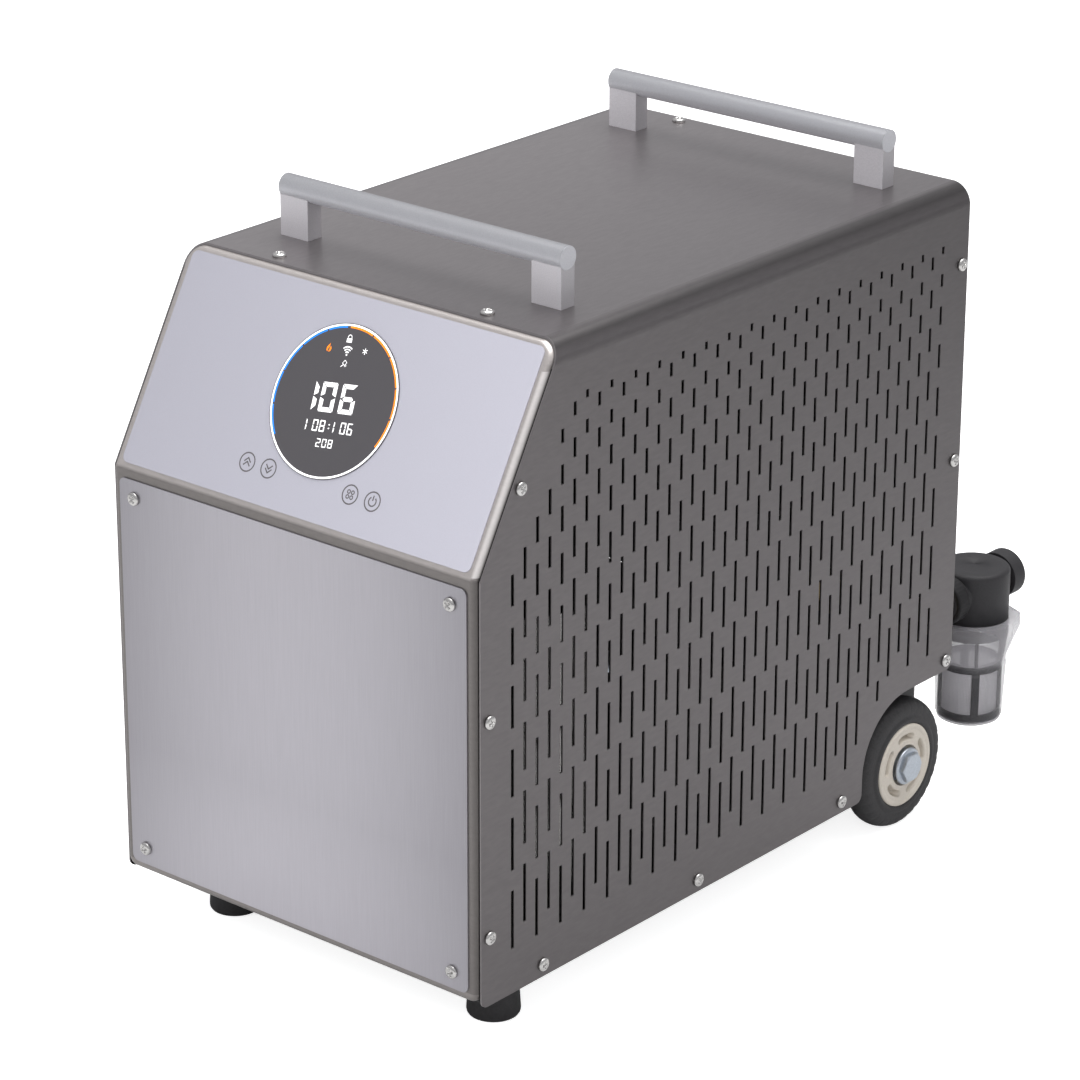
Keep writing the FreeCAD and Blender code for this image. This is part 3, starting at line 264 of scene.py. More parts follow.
# Painted light: a bright band down the middle and a lift near the floor.
painted_middle_light = plate.calc("MULTIPLY_ADD", plate.calc("MULTIPLY", plate_place["X"], plate_place["X"]), -12.4, 1.0)
painted_floor_light = plate.calc("MAXIMUM", plate.calc("SUBTRACT", glow_z, plate_place["Z"]), 0.0)
plate.scale_color(plate.calc("MULTIPLY", painted_middle_light, plate.calc("MULTIPLY_ADD", painted_floor_light, 2.4, 1.0)))
plate.put_on("front_plate")

# Control overlay: matt printed film on the slope, pale lavender grey with a soft sheen; light is
# painted into its colour, lighter to the right.

film = Finish("overlay_film", (0.51, 0.505, 0.568), 0.42, metal=0.30, edge=0.0002, scale=1500.0, depth=0.06,
              spread=0.02)
# Painted light: the colour grows lighter to the right.
film.scale_color(film.calc("MULTIPLY_ADD", film.place()["X"], 0.70, 1.0))
film.put_on("control_overlay")

# Display window: a dark acrylic disc laid in the film. Its printing and lit segments are thin
# flat shapes just above it, drawn in the slope's own directions from the disc's middle.

glass = Finish("display_window", (0.072, 0.068, 0.074), 0.32, edge=0.0002, scale=1800.0, depth=0.02, spread=0.02)
glass.put_on("display_window")

disc_low, disc_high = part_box("display_window")
disc_middle = (disc_low + disc_high) / 2
disc_mm = (disc_high.x - disc_low.x) / 2 * 1000
slope_angle = math.radians(60.25)
slope_up = Vector((0.0, math.cos(slope_angle), math.sin(slope_angle)))
slope_out = Vector((0.0, -slope_up.z, slope_up.y))
art_turn, art_shift = math.radians(7.6), -2.6
glass_lift, film_lift = 0.36, -0.28


def on_slope(across, up, lift, turn=0.0):
    """A point in millimetres from the disc's middle, turned with the printing."""
    x = across * math.cos(turn) - up * math.sin(turn)
    y = across * math.sin(turn) + up * math.cos(turn)
    return disc_middle + Vector((x / 1000, 0, 0)) + slope_up * (y / 1000) + slope_out * (lift / 1000)


def flat_shapes(name, outlines, lift, turn, finish, slot, shift=art_shift):
    """One piece of thin flat polygons, each an outline of (across, up) points in millimetres."""
    shape = bmesh.new()
    aside = Vector((shift / 1000, 0, 0))
    for outline in outlines:
        corners = [shape.verts.new(on_slope(x, y, lift, turn) + aside) for x, y in outline]
        face = shape.faces.new(corners)
        face.normal_update()
        if face.normal.dot(slope_out) < 0:
            face.normal_flip()
    bmesh.ops.triangulate(shape, faces=shape.faces[:])
    mesh = bpy.data.meshes.new(name)
    shape.to_mesh(mesh)
    shape.free()
    return add_piece(name, mesh, "cabinet", slot, finish)


def arc_strips(radius, width, start, end, steps):
    """Quads along an arc, angles in degrees."""
    strips = []
    inside, outside = radius - width / 2, radius + width / 2
    for step in range(steps):
        a = math.radians(start + (end - start) * step / steps)
        b = math.radians(start + (end - start) * (step + 1) / steps)
        strips.append([(r * math.cos(angle), r * math.sin(angle))
                       for r, angle in ((inside, a), (outside, a), (outside, b), (inside, b))])
    return strips


def lit(name, color, strength):
    """A printed or lit colour that keeps its own brightness."""
    finish = Finish(name, color, 0.5, edge=0.0, scale=3000.0, depth=0.0, spread=0.02)
    finish.surface.inputs["Emission Color"].default_value = (*color, 1.0)
    finish.surface.inputs["Emission Strength"].default_value = strength
    return finish


white_ink = lit("white_ink", (1.0, 1.0, 1.0), 0.55)
blue_light = lit("blue_light", (0.010, 0.19, 0.76), 0.75)
orange_light = lit("orange_light", (0.87, 0.22, 0.006), 0.75)
grey_ink = lit("grey_ink", (0.115, 0.105, 0.11), 0.0)

flat_shapes("display_ring", arc_strips(disc_mm - 1.15, 1.3, 0, 360, 120), glass_lift, 0.0, white_ink, "display",
            0.0)
blue_gaps = [92.0, 111.0, 136.0, 161.0, 187.0, 212.5]
orange_gaps = [90.5, 66.0, 41.0, 15.0, -9.0, -33.0]
for name, gaps, light in (("cold_arc", blue_gaps, blue_light), ("warm_arc", orange_gaps, orange_light)):
    strips = []
    for start, end in zip(gaps, gaps[1:]):
        lean_in = 0.7 if end > start else -0.7
        strips += arc_strips(disc_mm - 2.55, 1.2, start + lean_in, end - lean_in, 8)
    flat_shapes(name, strips, glass_lift, art_turn, light, "display", 0.0)

# Numbers of the display: three lines of seven-segment digits, upright on the printing, which is
# turned a little and stands left of the disc's middle.


def segment_digit(digit, left, low, width, height, thick):
    """Outlines of a digit's lit segments, with pointed ends and small gaps between them."""
    mid = low + height / 2
    right, high = left + width, low + height
    t, g = thick, thick * 0.12
    shapes = {
        "a": [(left + g, high), (right - g, high), (right - t - g, high - t), (left + t + g, high - t)],
        "d": [(left + g, low), (right - g, low), (right - t - g, low + t), (left + t + g, low + t)],
        "f": [(left, high - g), (left + t, high - t - g), (left + t, mid + t / 2 + g), (left, mid + g)],
        "e": [(left, low + g), (left + t, low + t + g), (left + t, mid - t / 2 - g), (left, mid - g)],
        "b": [(right, high - g), (right - t, high - t - g), (right - t, mid + t / 2 + g), (right, mid + g)],
        "c": [(right, low + g), (right - t, low + t + g), (right - t, mid - t / 2 - g), (right, mid - g)],
        "g": [(left + t * 0.6, mid), (left + t * 1.1, mid + t / 2), (right - t * 1.1, mid + t / 2),
              (right - t * 0.6, mid), (right - t * 1.1, mid - t / 2), (left + t * 1.1, mid - t / 2)],
    }
    lit_segments = {"0": "abcdef", "1": "fe", "2": "abged", "6": "afgedc", "8": "abcdefg"}
    return [shapes[letter] for letter in lit_segments[digit]]


def number_line(text, left, low, width, height, thick, pitch):
    """Outlines of a line of digits and colons."""
    outlines = []
    for index, digit in enumerate(text):
        at = left + pitch * index
        if digit == ":":
            for share in (0.3, 0.62):
                y = low + height * share
                outlines.append([(at + width * 0.35, y), (at + width * 0.6, y), (at + width * 0.6, y + thick),
                                 (at + width * 0.35, y + thick)])
        else:
            outlines += segment_digit(digit, at, low, width, height, thick)
    return outlines


big_low, big_height = -8.0, 19.5
big_digits = segment_digit("1", -14.6, big_low, 9.0, big_height, 3.2)
big_digits += segment_digit("0", -8.8, big_low, 12.2, big_height, 3.0)
big_digits += segment_digit("6", 7.6, big_low, 12.2, big_height, 3.0)
set_digits = number_line("108:106", -15.6, -21.0, 4.3, 7.6, 0.85, 5.7)
small_digits = number_line("208", -4.0, -31.0, 3.6, 5.6, 0.68, 4.9)
for name, digits in (("big_number", big_digits), ("set_number", set_digits), ("small_number", small_digits)):
    flat_shapes(name, digits, glass_lift, art_turn, white_ink, "display")

# Pictograms above the numbers: lock, wireless arcs, flame, frost star and a small outlined plug, all
# built of straight strokes and arcs.


def stroke(x0, y0, x1, y1, width):
    """The outline of a straight stroke."""
    run = math.hypot(x1 - x0, y1 - y0)
    nx, ny = -(y1 - y0) / run * width / 2, (x1 - x0) / run * width / 2
    return [(x0 + nx, y0 + ny), (x1 + nx, y1 + ny), (x1 - nx, y1 - ny), (x0 - nx, y0 - ny)]


def moved(outlines, x, y):
    return [[(px + x, py + y) for px, py in outline] for outline in outlines]


lock = [[(-2.1, -2.5), (2.1, -2.5), (2.1, 0.3), (-2.1, 0.3)]] + moved(arc_strips(1.5, 0.5, -14, 194, 10), 0, 1.0)
waves = []
for radius in (1.9, 3.6, 5.3):
    waves += arc_strips(radius, 0.8, 48, 132, 8)
waves += arc_strips(0.35, 0.7, 0, 360, 8)
star = []
for turn in (0, 60, 120):
    c, s = math.cos(math.radians(turn + 30)) * 2.1, math.sin(math.radians(turn + 30)) * 2.1
    star.append(stroke(-c, -s, c, s, 0.5))
plug = [stroke(-1.6, 0.2, 0.2, 2.2, 0.35), stroke(0.2, 2.2, 2.0, 0.6, 0.35), stroke(2.0, 0.6, 0.4, -1.2, 0.35),
        stroke(0.4, -1.2, -1.6, 0.2, 0.35), stroke(-0.6, -0.6, -2.6, -2.4, 0.45), stroke(0.6, -1.0, 0.6, -2.2, 0.4),
        stroke(1.6, -0.8, 1.6, -2.0, 0.4)]
icons = moved(lock, 4.0, 41.0) + moved(waves, 4.3, 30.4) + moved(star, 18.6, 33.8) + moved(plug, 4.2, 24.6)
flat_shapes("white_icons", icons, glass_lift, art_turn, white_ink, "display")
flame = [[(-1.9, -1.6), (-0.9, -2.8), (-0.7, -1.0), (0.3, 0.6), (0.5, 2.9), (-0.9, 1.4), (-1.9, 0.0)],
         [(-0.2, -2.9), (1.3, -2.4), (2.0, -0.6), (1.2, 1.2), (0.7, 0.0), (0.4, -1.4)]]
flat_shapes("flame_icon", moved(flame, -11.0, 34.0), glass_lift, art_turn, orange_light, "display")

# Touch keys: four rings printed on the film below the disc, with chevrons up and down, four small
# rings and a power sign in one line width.

key_row, key_line = -53.6, 0.95
chevrons = [stroke(-2.8, -2.5, 0.2, 0.5, key_line), stroke(-0.2, 0.5, 2.8, -2.5, key_line),
            stroke(-2.8, 0.1, 0.2, 3.1, key_line), stroke(-0.2, 3.1, 2.8, 0.1, key_line)]
down_chevrons = [[(x, -y) for x, y in outline] for outline in chevrons]
dots = []
for x in (-1.65, 1.65):
    for y in (-1.65, 1.65):
        dots += moved(arc_strips(1.15, 0.8, 0, 360, 16), x, y)
power = arc_strips(3.0, key_line, 125, 415, 20) + [stroke(0, 0.4, 0, 4.0, key_line)]
key_marks = []
for at, mark in ((-50.0, chevrons), (-31.2, down_chevrons), (40.0, dots), (59.0, power)):
    key_marks += moved(mark + arc_strips(6.2, key_line, 0, 360, 40), at, key_row)
flat_shapes("touch_keys", key_marks, film_lift, 0.0, grey_ink, "overlay_film")

# Screws: one pan-head screw with a cross recess, set at every screw place of wrap and plate.
# Zinc-plated steel; each stands on its sheet and is turned a little differently.

zinc = Finish("zinc_steel", (0.60, 0.59, 0.575), 0.24, metal=1.0, edge=0.0002, scale=1600.0, depth=0.06,
              spread=0.06)


def screw_head(radius, rise):
    """A domed head with its cross recess, along +Z, in metres."""
    shape = bmesh.new()
    rings, turns = 16, 48
    angles = [2 * math.pi * turn / turns for turn in range(turns)]
    rows = []
    for ring in range(1, rings + 1):
        r = radius * ring / rings
        row = []
        for angle in angles:
            x, y = r * math.cos(angle), r * math.sin(angle)
            dome = rise * (0.38 + 0.62 * math.sqrt(max(0.0, 1.0 - (r / radius) ** 2)))
            arm = min(max(abs(x), abs(y)) / (radius * 0.56), 1.0)
            beside = min(abs(x), abs(y)) / (radius * 0.15)
            cut = rise * 0.75 * (1.0 - arm) ** 0.5 if beside < 1.0 and arm < 1.0 else 0.0
            row.append(shape.verts.new((x, y, dome - cut)))
        rows.append(row)
    middle = shape.verts.new((0, 0, rise * 0.2))
    foot = [shape.verts.new((radius * math.cos(angle), radius * math.sin(angle), 0)) for angle in angles]
    rows.append(foot)
    for turn in range(turns):
        after = (turn + 1) % turns
        shape.faces.new((middle, rows[0][turn], rows[0][after]))
        for near_row, far_row in zip(rows, rows[1:]):
            shape.faces.new((near_row[turn], far_row[turn], far_row[after], near_row[after]))
    shape.faces.new(list(reversed(foot)))
    bmesh.ops.recalc_face_normals(shape, faces=shape.faces[:])
    for face in shape.faces:
        face.smooth = True
    mesh = bpy.data.meshes.new("screw_head")
    shape.to_mesh(mesh)
    shape.free()
    return mesh


def set_in_places():
    """A node tree that sets one object at every point, turned as the point's own attribute says."""
    tree = bpy.data.node_groups.new("set_in_places", "GeometryNodeTree")
    tree.is_modifier = True
    tree.interface.new_socket("Geometry", in_out="INPUT", socket_type="NodeSocketGeometry")
    tree.interface.new_socket("Piece", in_out="INPUT", socket_type="NodeSocketObject")
    tree.interface.new_socket("Material", in_out="INPUT", socket_type="NodeSocketMaterial")
    tree.interface.new_socket("Geometry", in_out="OUTPUT", socket_type="NodeSocketGeometry")
    inlet = tree.nodes.new("NodeGroupInput")
    outlet = tree.nodes.new("NodeGroupOutput")
    info = tree.nodes.new("GeometryNodeObjectInfo")
    turn = tree.nodes.new("GeometryNodeInputNamedAttribute")
    turn.data_type = "FLOAT_VECTOR"
    turn.inputs["Name"].default_value = "turn"
    copies = tree.nodes.new("GeometryNodeInstanceOnPoints")
    real = tree.nodes.new("GeometryNodeRealizeInstances")
    paint = tree.nodes.new("GeometryNodeSetMaterial")
    link = tree.links.new
    link(inlet.outputs["Geometry"], copies.inputs["Points"])
    link(inlet.outputs["Piece"], info.inputs["Object"])
    link(info.outputs["Geometry"], copies.inputs["Instance"])
    link(turn.outputs["Attribute"], copies.inputs["Rotation"])
    link(copies.outputs["Instances"], real.inputs["Geometry"])
    link(real.outputs["Geometry"], paint.inputs["Geometry"])
    link(inlet.outputs["Material"], paint.inputs["Material"])
    link(paint.outputs["Geometry"], outlet.inputs["Geometry"])
    return tree


copy_tree = set_in_places()


def spread_copies(name, source, places, body, slot, finish):
    """One plain mesh of copies of `source`, each place a point and the direction its +Z takes."""
    holder = bpy.data.objects.new(name + "_source", source)
    points = bpy.data.meshes.new(name + "_points")
    points.from_pydata([spot for spot, way, roll in places], [], [])
    turns = points.attributes.new("turn", "FLOAT_VECTOR", "POINT")
    for index, (spot, way, roll) in enumerate(places):
        turned = way.to_track_quat("Z", "Y") @ Matrix.Rotation(roll, 3, "Z").to_quaternion()
        turns.data[index].vector = turned.to_euler()
    carrier = bpy.data.objects.new(name + "_points", points)
    scene_root = bpy.context.scene.collection.objects
    scene_root.link(holder)
    scene_root.link(carrier)
    modifier = carrier.modifiers.new("copies", "NODES")
    modifier.node_group = copy_tree
    named = {item.name: item.identifier for item in copy_tree.interface.items_tree if item.in_out == "INPUT"}
    modifier[named["Piece"]] = holder
    modifier[named["Material"]] = finish.material
    bpy.context.view_layer.update()
    ready = carrier.evaluated_get(bpy.context.evaluated_depsgraph_get())
    mesh = bpy.data.meshes.new_from_object(ready)
    mesh.name = name
    bpy.data.objects.remove(carrier)
    bpy.data.objects.remove(holder)
    mesh.materials.clear()
    return add_piece(name, mesh, body, slot, finish)


right_way, up_way, front_way = Vector((1, 0, 0)), Vector((0, 0, 1)), Vector((0, -1, 0))
low_screws, rear_screws, front_screws = 48.6, 250.9, -250.4
side_spots = [(-197.6, low_screws), (-34.8, low_screws), (128.2, low_screws), (rear_screws, 116.9),
              (rear_screws, 270.9), (rear_screws, 416.1), (front_screws, 88.2), (front_screws, 239.0),
              (-220.4, 386.9)]
screws = []
for index, (y, z) in enumerate(side_spots):
    for way in (right_way, -right_way):
        screws.append((Vector((way.x * sheet_half, y / 1000, z / 1000)), way, 0.7 * index))
top_screws, plate_screws = 90.0, 138.75
for index, y in enumerate((-170.4, 249.0)):
    for x in (-top_screws, top_screws):
        screws.append((Vector((x / 1000, y / 1000, sheet_top)), up_way, 0.4 + 0.9 * index))
plate_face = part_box("front_plate")[0].y
for index, z in enumerate((61.65, 317.0)):
    for x in (-plate_screws, plate_screws):
        screws.append((Vector((x / 1000, plate_face, z / 1000)), front_way, 0.3 + 0.5 * index))
head_size, head_rise = 0.00475, 0.0030
spread_copies("pan_head_screws", screw_head(head_size, head_rise), screws, "cabinet", "zinc_steel", zinc)

# Handles: satin anodised aluminium, a round bar on two flat posts each, finely blasted. Light and
# shade are painted into their colour: the bars lighter below than on top, the posts lighter at front and
# rear than on their sides.

bar_metal = Finish("bar_aluminium", (0.43, 0.432, 0.455), 0.44, metal=0.5, edge=0.0005, scale=1400.0, depth=0.10,
                   spread=0.07)
# Painted shade: the bars are darker where they face up.
bar_metal.scale_color(bar_metal.calc("MULTIPLY_ADD", bar_metal.normal()["Z"], -0.5, 1.2))
bar_metal.put_on("front_handle_bar", "rear_handle_bar")
post_metal = Finish("post_aluminium", (0.50, 0.485, 0.505), 0.5, metal=0.4, edge=0.0006, scale=1400.0, depth=0.10,
                    spread=0.06)
# Painted light: the posts are lighter on the faces turned to front and rear.
post_metal.scale_color(
    post_metal.calc("MULTIPLY_ADD", post_metal.calc("ABSOLUTE", post_metal.normal()["X"]), -0.45, 1.27))
post_metal.put_on("front_left_post", "front_right_post", "rear_left_post", "rear_right_post")

# Feet: black moulded rubber blocks, a little wider at the tread, with a rounded rim and the bolt's
# recess below. Every turned shape here starts and ends on a pole's narrow ring or on a bore.

pole = 0.0002


def turned_mesh(name, rows, turns, shift=None):
    """A closed mesh turned about its own Z, of rows of (radius, height).

    shift(row, radius, height, angle) may move each point in or out and along.
    """
    shape = bmesh.new()
    loops = []
    for row, (radius, height) in enumerate(rows):
        loop = []
        for turn in range(turns):
            angle = 2 * math.pi * turn / turns
            r, z = shift(row, radius, height, angle) if shift else (radius, height)
            loop.append(shape.verts.new((r * math.cos(angle), r * math.sin(angle), z)))
        loops.append(loop)
    for one, other in zip(loops, loops[1:] + loops[:1]):
        for turn in range(turns):
            after = (turn + 1) % turns
            shape.faces.new((one[turn], one[after], other[after], other[turn]))
    bmesh.ops.recalc_face_normals(shape, faces=shape.faces[:])
    for face in shape.faces:
        face.smooth = True
    mesh = bpy.data.meshes.new(name)
    shape.to_mesh(mesh)
    shape.free()
    return mesh


foot_rubber = Finish("foot_rubber", (0.020, 0.019, 0.020), 0.62, edge=0.0006, scale=500.0, depth=0.25, spread=0.2)
foot_rubber.put_on("compressor_grommets")
for name in ("left_foot", "right_foot"):
    low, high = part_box(name)
    wide, tall = (high.x - low.x) / 2, high.z
    recess, hole = 0.0140, 0.0075
    rows = [(pole, recess), (hole - 0.0003, recess), (hole, recess - 0.0003), (hole, 0.0010), (hole + 0.0010, 0.0)]
    rows += [(wide - 0.0030, 0.0), (wide - 0.0012, 0.0005), (wide - 0.0003, 0.0018), (wide, 0.0036)]
    rows += [(wide - 0.0022, tall - 0.0040), (wide - 0.0024, tall - 0.0012), (wide - 0.0034, tall - 0.0002),
             (wide - 0.0042, tall), (pole, tall)]
    mesh = turned_mesh(f"{name}_skin", rows, 64)
    mesh.transform(Matrix.Translation(((low.x + high.x) / 2, (low.y + high.y) / 2, 0.0)))
    add_piece(f"{name}_skin", mesh, "cabinet", "black_rubber", foot_rubber, replaces=[name])

# Wheels: rubber tyre with shallow shoulder lugs, on a cream moulded hub with five arc windows. They
# turn on axle bolts whose washers and hexagon nuts stay with the cabinet.

tyre_low, tyre_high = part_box("right_tyre")
axle_y, axle_z = (tyre_low.y + tyre_high.y) / 2, (tyre_low.z + tyre_high.z) / 2
tyre_radius = (tyre_high.z - tyre_low.z) / 2
tyre_width = tyre_high.x - tyre_low.x
hub_radius = (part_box("right_hub")[1].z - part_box("right_hub")[0].z) / 2


def stand_wheel(mesh, side):
    """Moves a mesh turned about Z onto the axle, its +Z end outward."""
    turn = Matrix.Rotation(math.radians(90) * side, 4, "Y")
    mesh.transform(Matrix.Translation((tyre_low.x * side, axle_y, axle_z)) @ turn)


tyre_rubber = Finish("tyre_rubber", (0.022, 0.021, 0.022), 0.62, edge=0.0, scale=700.0, depth=0.3, spread=0.25)
hub_plastic = Finish("hub_plastic", (0.545, 0.50, 0.435), 0.5, edge=0.0, scale=600.0, depth=0.12, spread=0.04)

wall = [(hub_radius - 0.0003, 0.0016), (hub_radius + 0.0012, 0.0004), (hub_radius + 0.0040, 0.0002),
        (hub_radius + 0.0050, 0.0012), (tyre_radius - 0.0110, 0.0013)]
tread = list(wall)
crown, crown_steps = 0.0105, 14
for step in range(crown_steps + 1):
    angle = math.radians(-84 + 168 * step / crown_steps)
    tread.append((tyre_radius - crown + crown * math.cos(angle) ** 0.62,
                  tyre_width * (0.5 + 0.445 * math.sin(angle))))
tread += [(radius, tyre_width - height) for radius, height in reversed(wall)]


def lug(row, radius, height, angle):
    """32 shallow cross grooves on the tyre's shoulders."""
    beside = abs(height / tyre_width - 0.5) * 2
    on_shoulder = radius > tyre_radius - 0.0095 and beside > 0.62
    in_groove = (angle * 32 / (2 * math.pi)) % 1.0 < 0.3
    return radius - (0.0005 if on_shoulder and in_groove else 0.0), height


window_ring, window_start, window_half = 0.0215, math.radians(34), math.radians(19)
window_depth, hub_bore, hub_foot = 0.007, 0.00605, -0.0043


def hub_face(row, radius, height, angle):
    """Presses five round-ended arc windows into the hub's outer face."""
    if height < tyre_width - 0.003:
        return radius, height
    pitch = 2 * math.pi / 5
    off = (angle - window_start + pitch / 2) % pitch - pitch / 2
    if abs(off) <= window_half:
        reach = abs(radius - window_ring)
    else:
        beyond = (abs(off) - window_half) * window_ring
        reach = math.hypot(radius - window_ring, beyond)
    share = min(max((0.0025 - reach) / 0.0009, 0.0), 1.0)
    return radius, height - window_depth * share * share * (3 - 2 * share)


hub_rows = [(hub_bore, tyre_width - 0.009), (0.0146, tyre_width - 0.009), (0.0150, tyre_width - 0.0085),
            (0.0151, tyre_width - 0.0006), (0.0156, tyre_width)]
hub_rows += [(0.0162 + 0.0005 * step, tyre_width - 0.0004) for step in range(23)]
hub_rows += [(0.0277, tyre_width), (hub_radius - 0.0008, tyre_width), (hub_radius, tyre_width - 0.0008),
             (hub_radius, 0.0), (0.013, 0.0), (0.013, hub_foot), (hub_bore, hub_foot)]
for name, side in (("left", -1), ("right", 1)):
    mesh = turned_mesh(f"{name}_tyre_skin", tread, 288, lug)
    stand_wheel(mesh, side)
    add_piece(f"{name}_tyre_skin", mesh, f"{name}_wheel", "tyre_rubber", tyre_rubber, replaces=[f"{name}_tyre"])
    mesh = turned_mesh(f"{name}_hub_skin", hub_rows, 180, hub_face)
    stand_wheel(mesh, side)
    add_piece(f"{name}_hub_skin", mesh, f"{name}_wheel", "hub_plastic", hub_plastic, replaces=[f"{name}_hub"])
axle_zinc = Finish("axle_zinc", (0.46, 0.50, 0.55), 0.33, metal=0.9, edge=0.0005, scale=900.0, depth=0.08,
                   spread=0.1)
axle_zinc.put_on("left_axle_bolt", "right_axle_bolt")


def hex_nut(flats, low, high):
    """A hexagon of rounded corners along +Z, as its turned rows give it."""
    corner = flats / math.sqrt(3)

    def six(row, radius, height, angle):
        off = (angle + math.pi / 6) % (math.pi / 3) - math.pi / 6
        return min(radius, flats / 2 / math.cos(off)) if radius > flats * 0.4 else radius, height

    rows = [(pole, low), (corner, low), (corner, high - 0.0012), (corner * 0.97, high - 0.0006),
            (flats / 2 * 0.99, high), (pole, high)]
    mesh = turned_mesh("hex_nut", rows, 96, six)
    for face in mesh.polygons:
        face.use_smooth = False
    return mesh


seat, nut_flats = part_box("right_axle_bolt")[1].x - tyre_low.x, 0.0200
washer_rows = [(pole, seat), (0.0134, seat), (0.0138, seat + 0.0004), (0.0138, seat + 0.0016),
               (0.0128, seat + 0.0024), (pole, seat + 0.0024)]
for name, side in (("left", -1), ("right", 1)):
    for part, mesh in (("washer", turned_mesh("washer", washer_rows, 96)),
                       ("nut", hex_nut(nut_flats, seat + 0.0022, seat + 0.0062))):
        stand_wheel(mesh, side)
        add_piece(f"{name}_axle_{part}", mesh, "cabinet", "zinc_steel", axle_zinc)

# Water filter: matt black moulded head on two ports in line, each with its ring nut, over a clear
# screwed bowl with eight grip lobes; inside it a black strainer frame carries a fine pale mesh.

black_plastic = Finish("black_plastic", (0.024, 0.023, 0.025), 0.55, edge=0.0010, scale=900.0, depth=0.15,
                       spread=0.12)
black_plastic.surface.inputs["Specular IOR Level"].default_value = 0.35
black_plastic.put_on("inlet_collar", "power_socket", "water_pump", "fan_blade")
head_low, head_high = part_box("filter_head")
head_x, head_y = (head_low.x + head_high.x) / 2, (head_low.y + head_high.y) / 2
head_radius = (head_high.x - head_low.x) / 2
collar_low, collar_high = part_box("inlet_collar")
port_z = (collar_low.z + collar_high.z) / 2
reach_y = (head_high.y - head_low.y) / 2
head_round = 0.0036
can = [(pole, head_low.z), (head_radius, head_low.z)]
for step in range(7):
    angle = math.radians(90 * step / 6)
    can.append((head_radius - head_round + head_round * math.cos(angle),
                head_high.z - head_round + head_round * math.sin(angle)))
can += [(head_radius - 0.0052, head_high.z), (pole, head_high.z)]
can_mesh = turned_mesh("filter_can", can, 128)
can_mesh.transform(Matrix.Translation((head_x, head_y, 0.0)))
port_out, port_bore, port_edge, port_depth = 0.0140, 0.0100, 0.0006, 0.0220
thread_pitch, thread_root = 0.0022, 0.0104
port = [(pole, -reach_y), (port_out - port_edge, -reach_y), (port_out, -reach_y + port_edge),
        (port_out, reach_y - port_edge), (port_out - port_edge, reach_y), (port_bore + port_edge, reach_y),
        (port_bore, reach_y - port_edge)]
for turn in range(7):
    thread_y = reach_y - thread_pitch * turn
    port += [(port_bore, thread_y - 0.0020), (thread_root, thread_y - 0.0026),
             (thread_root, thread_y - 0.0032), (port_bore, thread_y - 0.0038)]
port += [(port_bore, reach_y - port_depth), (pole, reach_y - port_depth)]
to_rear_way = Matrix.Rotation(math.radians(-90), 4, "X")
port_mesh = turned_mesh("filter_ports", port, 96)
port_mesh.transform(Matrix.Translation((head_x, head_y, port_z)) @ to_rear_way)
head_mesh = bpy.data.meshes.new("filter_head_skin")
head_shape = bmesh.new()
head_shape.from_mesh(can_mesh)
head_shape.from_mesh(port_mesh)
head_shape.to_mesh(head_mesh)
head_shape.free()
add_piece("filter_head_skin", head_mesh, "cabinet", "black_plastic", black_plastic, replaces=["filter_head"])
nut_in, nut_out = port_out + 0.0001, (collar_high.z - collar_low.z) / 2
nut_rows = [(nut_in, 0.0), (nut_out - 0.0015, 0.0), (nut_out - 0.0004, 0.0005), (nut_out, 0.0016),
            (nut_out, 0.0114), (nut_out - 0.0004, 0.0125), (nut_out - 0.0015, 0.0130), (nut_in, 0.0130)]


def knurl(row, radius, height, angle):
    """36 fine grip ribs round a ring nut."""
    return radius - (0.00015 if radius > nut_out - 0.0001 and math.cos(angle * 36) < 0 else 0.0), height


nut_mesh = turned_mesh("near_port_nut", nut_rows, 216, knurl)
# Painted shade: the near port's ring nut takes a darker, less glossy copy of the black plastic.
port_black_shaded = Finish("port_black_shaded", (0.014, 0.0135, 0.0145), 0.6, edge=0.0008, scale=900.0, depth=0.12, spread=0.1)
port_black_shaded.surface.inputs["Specular IOR Level"].default_value = 0.25
nut_mesh.transform(Matrix.Translation((head_x, head_low.y, port_z)) @ to_rear_way)
add_piece("near_port_nut", nut_mesh, "cabinet", "black_plastic", port_black_shaded)

# Bowl: clear moulded cup, its thick wall grey at the edges and faintly milky; the lobes of its
# collar run out down the leaning shoulder.

clear = Finish("clear_bowl", (0.17, 0.165, 0.175), 0.12, edge=0.0, scale=120.0, depth=0.03, spread=0.04)
facing = clear.nodes.new("ShaderNodeLayerWeight")
facing.inputs["Blend"].default_value = 0.30
bowl_z, floor_top = clear.place()["Z"], 0.0435
shoulder = clear.calc("MINIMUM", clear.calc("MAXIMUM", clear.calc("MULTIPLY_ADD", bowl_z, 220.0, -18.5), 0.0), 1.0)
thick = clear.calc("MAXIMUM", shoulder, clear.calc("LESS_THAN", bowl_z, floor_top))
dense = clear.calc("MULTIPLY_ADD", thick, 0.20, 0.17)
clear.scale_color(clear.calc("MULTIPLY_ADD", thick, 0.9, 1.0))
clear.link(clear.calc("MULTIPLY_ADD", facing.outputs["Facing"], 0.58, dense), clear.surface.inputs["Alpha"])

